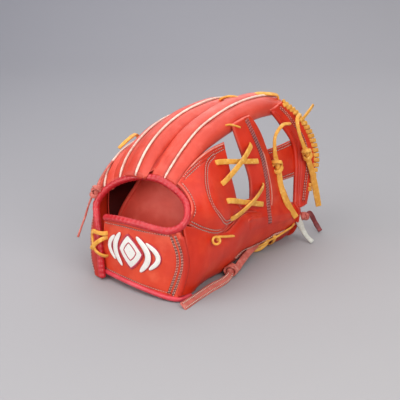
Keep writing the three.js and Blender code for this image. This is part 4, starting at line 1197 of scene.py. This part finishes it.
# the heights behind the palm's surface of the felt's outer face and of the lining's outer and inner faces
FELT_HIGH = -LEATHER - LAYER_GAP
LINING_HIGH = FELT_HIGH - FELT - LAYER_GAP
LINING_LOW = LINING_HIGH - LINING
for name, u, v in (("palm_felt", (0.06, 0.94), (0.4, 0.84)), ("pinky_heel_pad", (0.05, 0.42), (0.07, 0.38)),
                   ("thumb_heel_pad", (0.58, 0.95), (0.07, 0.38))):
    pad = plain(name, PALM, FELT_WOOL, slot="felt", low=FELT_HIGH - FELT, high=FELT_HIGH, u=u, v=v, flip=-1,
                edge=1.9)
plain("palm_lining", PALM, LINING_LEATHER, slot="lining", low=LINING_LOW, high=LINING_HIGH, u=(0.03, 0.97),
      v=(0.06, 0.88), flip=-1, edge=0.9, nu=60, nv=60, ripple=0.5)
MOUTH_EDGE = [(0.475, 0.87), (0.38, 0.7), (0.26, 0.54), (0.16, 0.38), (0.1, 0.2)]
MOUTH_START = 0.05


def mouths(s, t):
    """The region of the palm's inside that is painted dark, as the shade in the mouths of the finger stalls.
    """
    places, heights = np.array(MOUTH_EDGE)[::-1].T
    return MOUTH_START + s * (np.interp(t, heights, places) - MOUTH_START), t


# a dark sheet of painted shade where the mouths of the finger stalls lie in shade
finish(panel("stall_mouths_painted_shade", PALM, STALL_MOUTH_SHADE, low=LINING_LOW - 0.9, high=LINING_LOW, v=(0.2, 0.82),
             flip=-1, edge=0.4, nu=40, nv=50, warp=mouths), ROOT, "lining")
finish(piping("stall_edge", PALM, MOUTH_EDGE, 4.5, LINING_LEATHER, lift=1.2 - LINING_LOW), ROOT, "lining")
fold_line = upright(1.0, 0.97, 0.75, 0.5, 0.25, 0.03)
finish(piping("strap_fold", STRAP, fold_line, 6.5, SHADE, lift=-2.2), ROOT, "shell")


# ---------- web ----------
FOUR_ROWS = (-2.5, -0.8, 0.9, 2.5)


def rounded_bar(s, t):
    """The base bar's outline: rounded at its top, and drawn in beside the lower window."""
    s = 0.1 + (s - 0.1) * (1 - 0.3 * np.clip((t - 0.8) / 0.2, 0, 1) ** 2)
    return s * (1 - 0.1 * np.clip((0.4 - t) / 0.3, 0, 1)), t


def base_bar_foot():
    """The base bar's lower end laid over the thumb: it leaves the bar's surface and runs out on the thumb."""
    low, high = -0.32, 1.0
    s = np.linspace(low, high, 40)
    dip = 1.8 * (1 - np.clip(np.minimum(s - low, high - s) / 0.1, 0, 1)) ** 2
    grid = []
    for height, lift in ((0.3, -1.2), (0.22, 0.3), (0.1, 0.9)):
        t = np.full(len(s), height)
        n = sheet_normals(sheet_point, BASE_BAR, s, t)
        grid.append(sheet_point(BASE_BAR, s, t) + n * (lift - dip)[:, None])
    rings = thumb.rings(body=120, cap=20)
    order = np.arange(len(rings.t))
    at = np.interp(sheet_point(BASE_BAR, s, np.zeros(len(s)))[:, 1], rings.path[:, 1], order)
    for angle, lift in ((148, 1.3), (132, 1.0), (116, 0.6), (102, -1.2)):
        line, out = (resample(x, at, order) for x in thumb.line(rings, angle))
        grid.append(line + out * (lift - dip)[:, None])
    band = [(0.6, 0.93), (0.585, 0.7), (0.57, 0.45), (0.555, 0.16)]
    return panel("base_bar_foot", np.stack(grid[::-1]), SHELL, low=-0.6, nu=90, nv=60, edge=0.3, ripple=0.2,
                 thread=WEB_THREAD, seams=[Seam(band, rows=FOUR_ROWS, groove=0.3, wide=0.75)])


BAND = [(0.51, 0.99), (0.51, 0.84), (0.5, 0.7), (0.475, 0.53), (0.48, 0.34), (0.44, 0.11), (0.41, 0.02)]
plain("base_bar", BASE_BAR, SHELL, WEB_BEND, low=-BAR_WALL, edge=2.3, nu=100, nv=130, thread=WEB_THREAD,
      warp=rounded_bar, holes=[(0.4, 0.965)],
      seams=[Seam(BAND, rows=FOUR_ROWS, groove=0.45, step=0.3, wide=0.75)])
finish(base_bar_foot(), WEB_BEND, "shell")
BAND_EDGE = [(0.6, 0.74), (0.575, 0.52), (0.585, 0.325), (0.53, 0.1), (0.46, 0.0)]
finish(piping("base_bar_piping", BASE_BAR, BAND_EDGE, 1.5, PALE_EDGE), WEB_BEND, "shell")
plain("top_bar", TOP_BAR, SHELL, WEB_BEND, low=-BAR_WALL, edge=2.3, nu=90, nv=120, seams=[
    Seam([(0.56, 0.97), (0.51, 0.75), (0.53, 0.53), (0.5, 0.28), (0.5, 0.06)],
         rows=(-1.5, 1.5), groove=0.4, step=0.5),
    Seam(upright(0.2, 0.97, 0.75, 0.5, 0.26, 0.06), rows=(), step=-1.2),
])
roll_line = upright(0.05, 0.985, 0.75, 0.5, 0.26, 0.03)
finish(piping("top_bar_roll", TOP_BAR, roll_line, 6, SHELL, lift=-1.6), WEB_BEND, "shell")
plain("centre_bar", CENTRE_BAR, SHELL, WEB_BEND, low=-8.6, high=-5.4, edge=1.6, nu=70, nv=60, seams=[
    Seam(level(0.93, 0.03, 0.5, 0.97), rows=(-1.2, 1.6)),
    Seam(level(0.07, 0.03, 0.5, 0.97), rows=(-1.6, 1.2)),
])


# ---------- bindings ----------
def roll_binding(name, points, facing, width, thick, material, sides=20, power=2.2, folds=0.25):
    """A rolled leather edge with fine gathers across it."""
    path = even(points, 1.0)
    run = lengths(path)
    gather = 1 + folds * 0.12 * np.sin(run * 1.15 + 2 * np.sin(run / 21)) + folds * 0.08 * np.sin(run * 2.7)
    width, thick = width * gather, thick * gather
    binding = swept(name, material, path, facing, width, thick, sides=sides, power=power, cap=2.0)
    finish(binding, ROOT, "binding", name)


roll_binding("opening_binding", OPENING, (0, -1, 0), 7.2, 7.2, BINDING, sides=28, folds=0.45)
roll_binding("strap_binding", [(-103, -10.5, 2.8), (-75, -14.2, 2.4), (-40, -15, 0.8), (-13, -10.5, -1.6),
                               (-5, -5, -2.2), (-3, 9, -2.4)], (0, -1, 0), 5, 5, PIPING)
roll_binding("heel_binding", [(-123, 27.5, -1.9), (-105, 38, -1.9), (-75, 42, -1.9), (-43, 42.5, -1.9)],
             (0, 0, 1), 12, 6, BINDING, power=3.5, folds=0.1)


# ---------- laces through the leather ----------
CROSSED = ([1, 0, 5], [LEATHER, BAR_WALL, BAR_WALL, LEATHER], (0, -1, 0))
through("crotch_lace_upper", [
    ((-29.6, 80.8, 115.8), (0.8, 0.1, 0.59)), ((-24.4, 147.6, 102.5), (0.95, -0.26, 0.16)),
    ((-30.1, 141.9, 122), (0.94, -0.25, 0.24)), ((-15.9, 74.8, 97.3), (0.85, 0.21, 0.48)),
], *CROSSED, width=5.9)
through("crotch_lace_lower", [
    ((-7.3, 72.6, 81.1), (0.87, 0.31, 0.37)), ((-16.5, 146.9, 54.7), (0.99, -0.11, 0.08)),
    ((-19, 150.4, 75.3), (0.98, -0.11, 0.19)), ((-5.5, 77.3, 60.2), (0.96, 0.29, 0.02)),
], *CROSSED, WEB_BEND, width=5.9)
through("index_lace_base", [
    ((-43.5, 117, 146.5), (0.8, -0.1, 0.6)), ((-38.5, 131.5, 141), (0.96, -0.12, 0.27)),
], [0.5], [DIGIT_WALL, BAR_WALL], (0, 0, 1))
through("fingertip_lace", [((-93, 167, 155.5), (0.25, 0.1, 0.96)), ((-68, 171, 159.5), (-0.2, 0, 0.98))],
        [2.2], [DIGIT_WALL, DIGIT_WALL], (1, 0, 0), width=7.0, thick=2.8)
through("index_tip_lace", [((-68, 196, 158.8), (-0.1, 0.1, 0.99)), ((-54, 224, 154), (0.3, 0.2, 0.93))],
        [1.5], [DIGIT_WALL, DIGIT_WALL], (0, -1, 0))
finish(whip("rim_lace", TOP_BAR, (0.16, 0.99), 21, 5.8, BAR_WALL, 4.9), WEB_BEND, "lace", "rim_lace")
finish([
    ribbon("strap_lace", [
        (-98, -9, 48), (-101, -14.5, 47.5), (-107, -17.5, 47.8), (-114, -17, 47.6), (-117.5, -15.6, 44),
        (-117.2, -15.8, 38), (-115, -17, 32), (-111, -18.4, 27.5), (-105, -17.2, 23.8), (-100.5, -13.5, 22),
        (-98.5, -9, 21.5)], (0, -1, 0), width=4.6),
    ribbon("strap_lace_cross", [
        (-98, -9, 43), (-101.5, -15, 42), (-106.5, -19.5, 38), (-111, -20.3, 33.5), (-115.5, -19, 28.5),
        (-118.5, -13, 25)], (0, -1, 0), width=4.6),
], ROOT, "lace", "strap_lace")
finish(ribbon("thumb_edge_lace", [
    (-24.5, 124, 3.5), (-19.4, 130, 3.8), (-19.5, 142.7, 3.7), (-18.4, 152.9, 4.9), (-16.4, 163, 7.2),
    (-15.4, 173.2, 8), (-13.9, 182, 10.1), (-13, 191, 11.9), (-12.8, 198.8, 13.2), (-15.5, 206, 14),
], (0.86, -0.05, -0.51), width=4.2), THUMB, "lace", "thumb_edge_lace")
finish([
    ribbon("thumb_edge_loop_a", [(-19.5, 156, 10), (-17.5, 158, 7.5), (-19.5, 154, 2), (-24, 147, -1.5),
                                 (-28, 142, -1)], (0.86, -0.05, -0.3), width=5.2, thick=1.8),
    ribbon("thumb_edge_loop_b", [(-17.5, 168, 12.5), (-15, 168.5, 9.5), (-17, 170, 3.5), (-22.5, 171.5, -2),
                                 (-28, 172, -2)], (0.86, -0.05, -0.3), width=4.6, thick=1.8),
], THUMB, "lace")
HEEL_RING, HEEL_RING_RADIUS = np.array([6.0, 39.0, 51.0]), 3.8
ring_points = [HEEL_RING + HEEL_RING_RADIUS * math.cos(q) * RIGHT + HEEL_RING_RADIUS * math.sin(q) * UP
               - FORWARD * 0.25 * k for k, q in enumerate(np.radians(np.linspace(-60, 300, 15)))]
finish([
    ribbon("heel_loop_lace", ring_points, tuple(-FORWARD), width=2.6, thick=1.8),
    ribbon("heel_loop_end", [HEEL_RING + (0, 2, -1), (5.5, 44, 53.2), (6, 49, 52), (6, 58, 49.6),
                             (5.5, 68, 47)], (0, 0, 1), width=3.6, thick=1.8),
], ROOT, "lace", "heel_loop_lace")


# ---------- strap patch ----------
def on_strap(st):
    """Points on the strap at rows of (s, t), and the directions that it faces there."""
    return sheet_point(STRAP, *st.T), sheet_normals(sheet_point, STRAP, *st.T)


def satin_band(shape, points, width, thick, lift):
    """A raised run of satin stitch along a line on the strap, tapering to both ends."""
    path, out = on_sheet(STRAP, points, spacing=0.8)
    x = np.linspace(-1, 1, len(path))
    taper = 0.25 + 0.75 * np.sqrt(np.clip(1 - x**2, 0, 1))
    sweep(shape, path + out * lift, out, width * taper, thick, sides=12, power=2.6)


def strap_patch():
    """A white satin lozenge with a crimson outline between tapering chevrons, a little off the strap."""
    white, crimson = Shape(), Shape()
    q = np.linspace(0, 2 * np.pi, 97)
    centre, half = np.array([0.45, 0.54]), np.array([0.15, 0.27])
    lozenge = np.stack(superellipse(np.cos(q), np.sin(q), 1 / 0.62), -1) * half
    rims = []
    for size, height in ((1.0, 0.1), (0.985, 0.75), (0.95, 1.0), (0.85, 1.15), (0.5, 1.2), (0.02, 1.2)):
        base, out = on_strap(centre + lozenge * size)
        rims.append(base + out * height)
    white.grid(np.stack(rims))
    for size, lift, wide, thick in ((1.0, 0.6, 2.4, 1.5), (0.52, 1.1, 1.3, 0.9)):
        base, out = on_strap(centre + lozenge[::2] * size)
        sweep(crimson, base + out * lift, out, wide, thick, sides=12, power=2.4)
    for side in (-1, 1):
        for near, high, width in ((0.21, 0.27, 7.0), (0.31, 0.2, 5.5)):
            bend = ((near - 0.09, high), (near - 0.02, high * 0.45), (near, 0.0),
                    (near - 0.02, -high * 0.45), (near - 0.09, -high))
            line = [centre + np.array([side * s, t]) for s, t in bend]
            satin_band(crimson, line, width + 2.2, 1.2, 0.3)
            satin_band(white, line, width, 1.5, 0.8)
    return [white.make("strap_patch", WHITE_SATIN), crimson.make("strap_patch_outline", CRIMSON_SATIN)]


finish(strap_patch(), ROOT, "patch", "strap_patch")
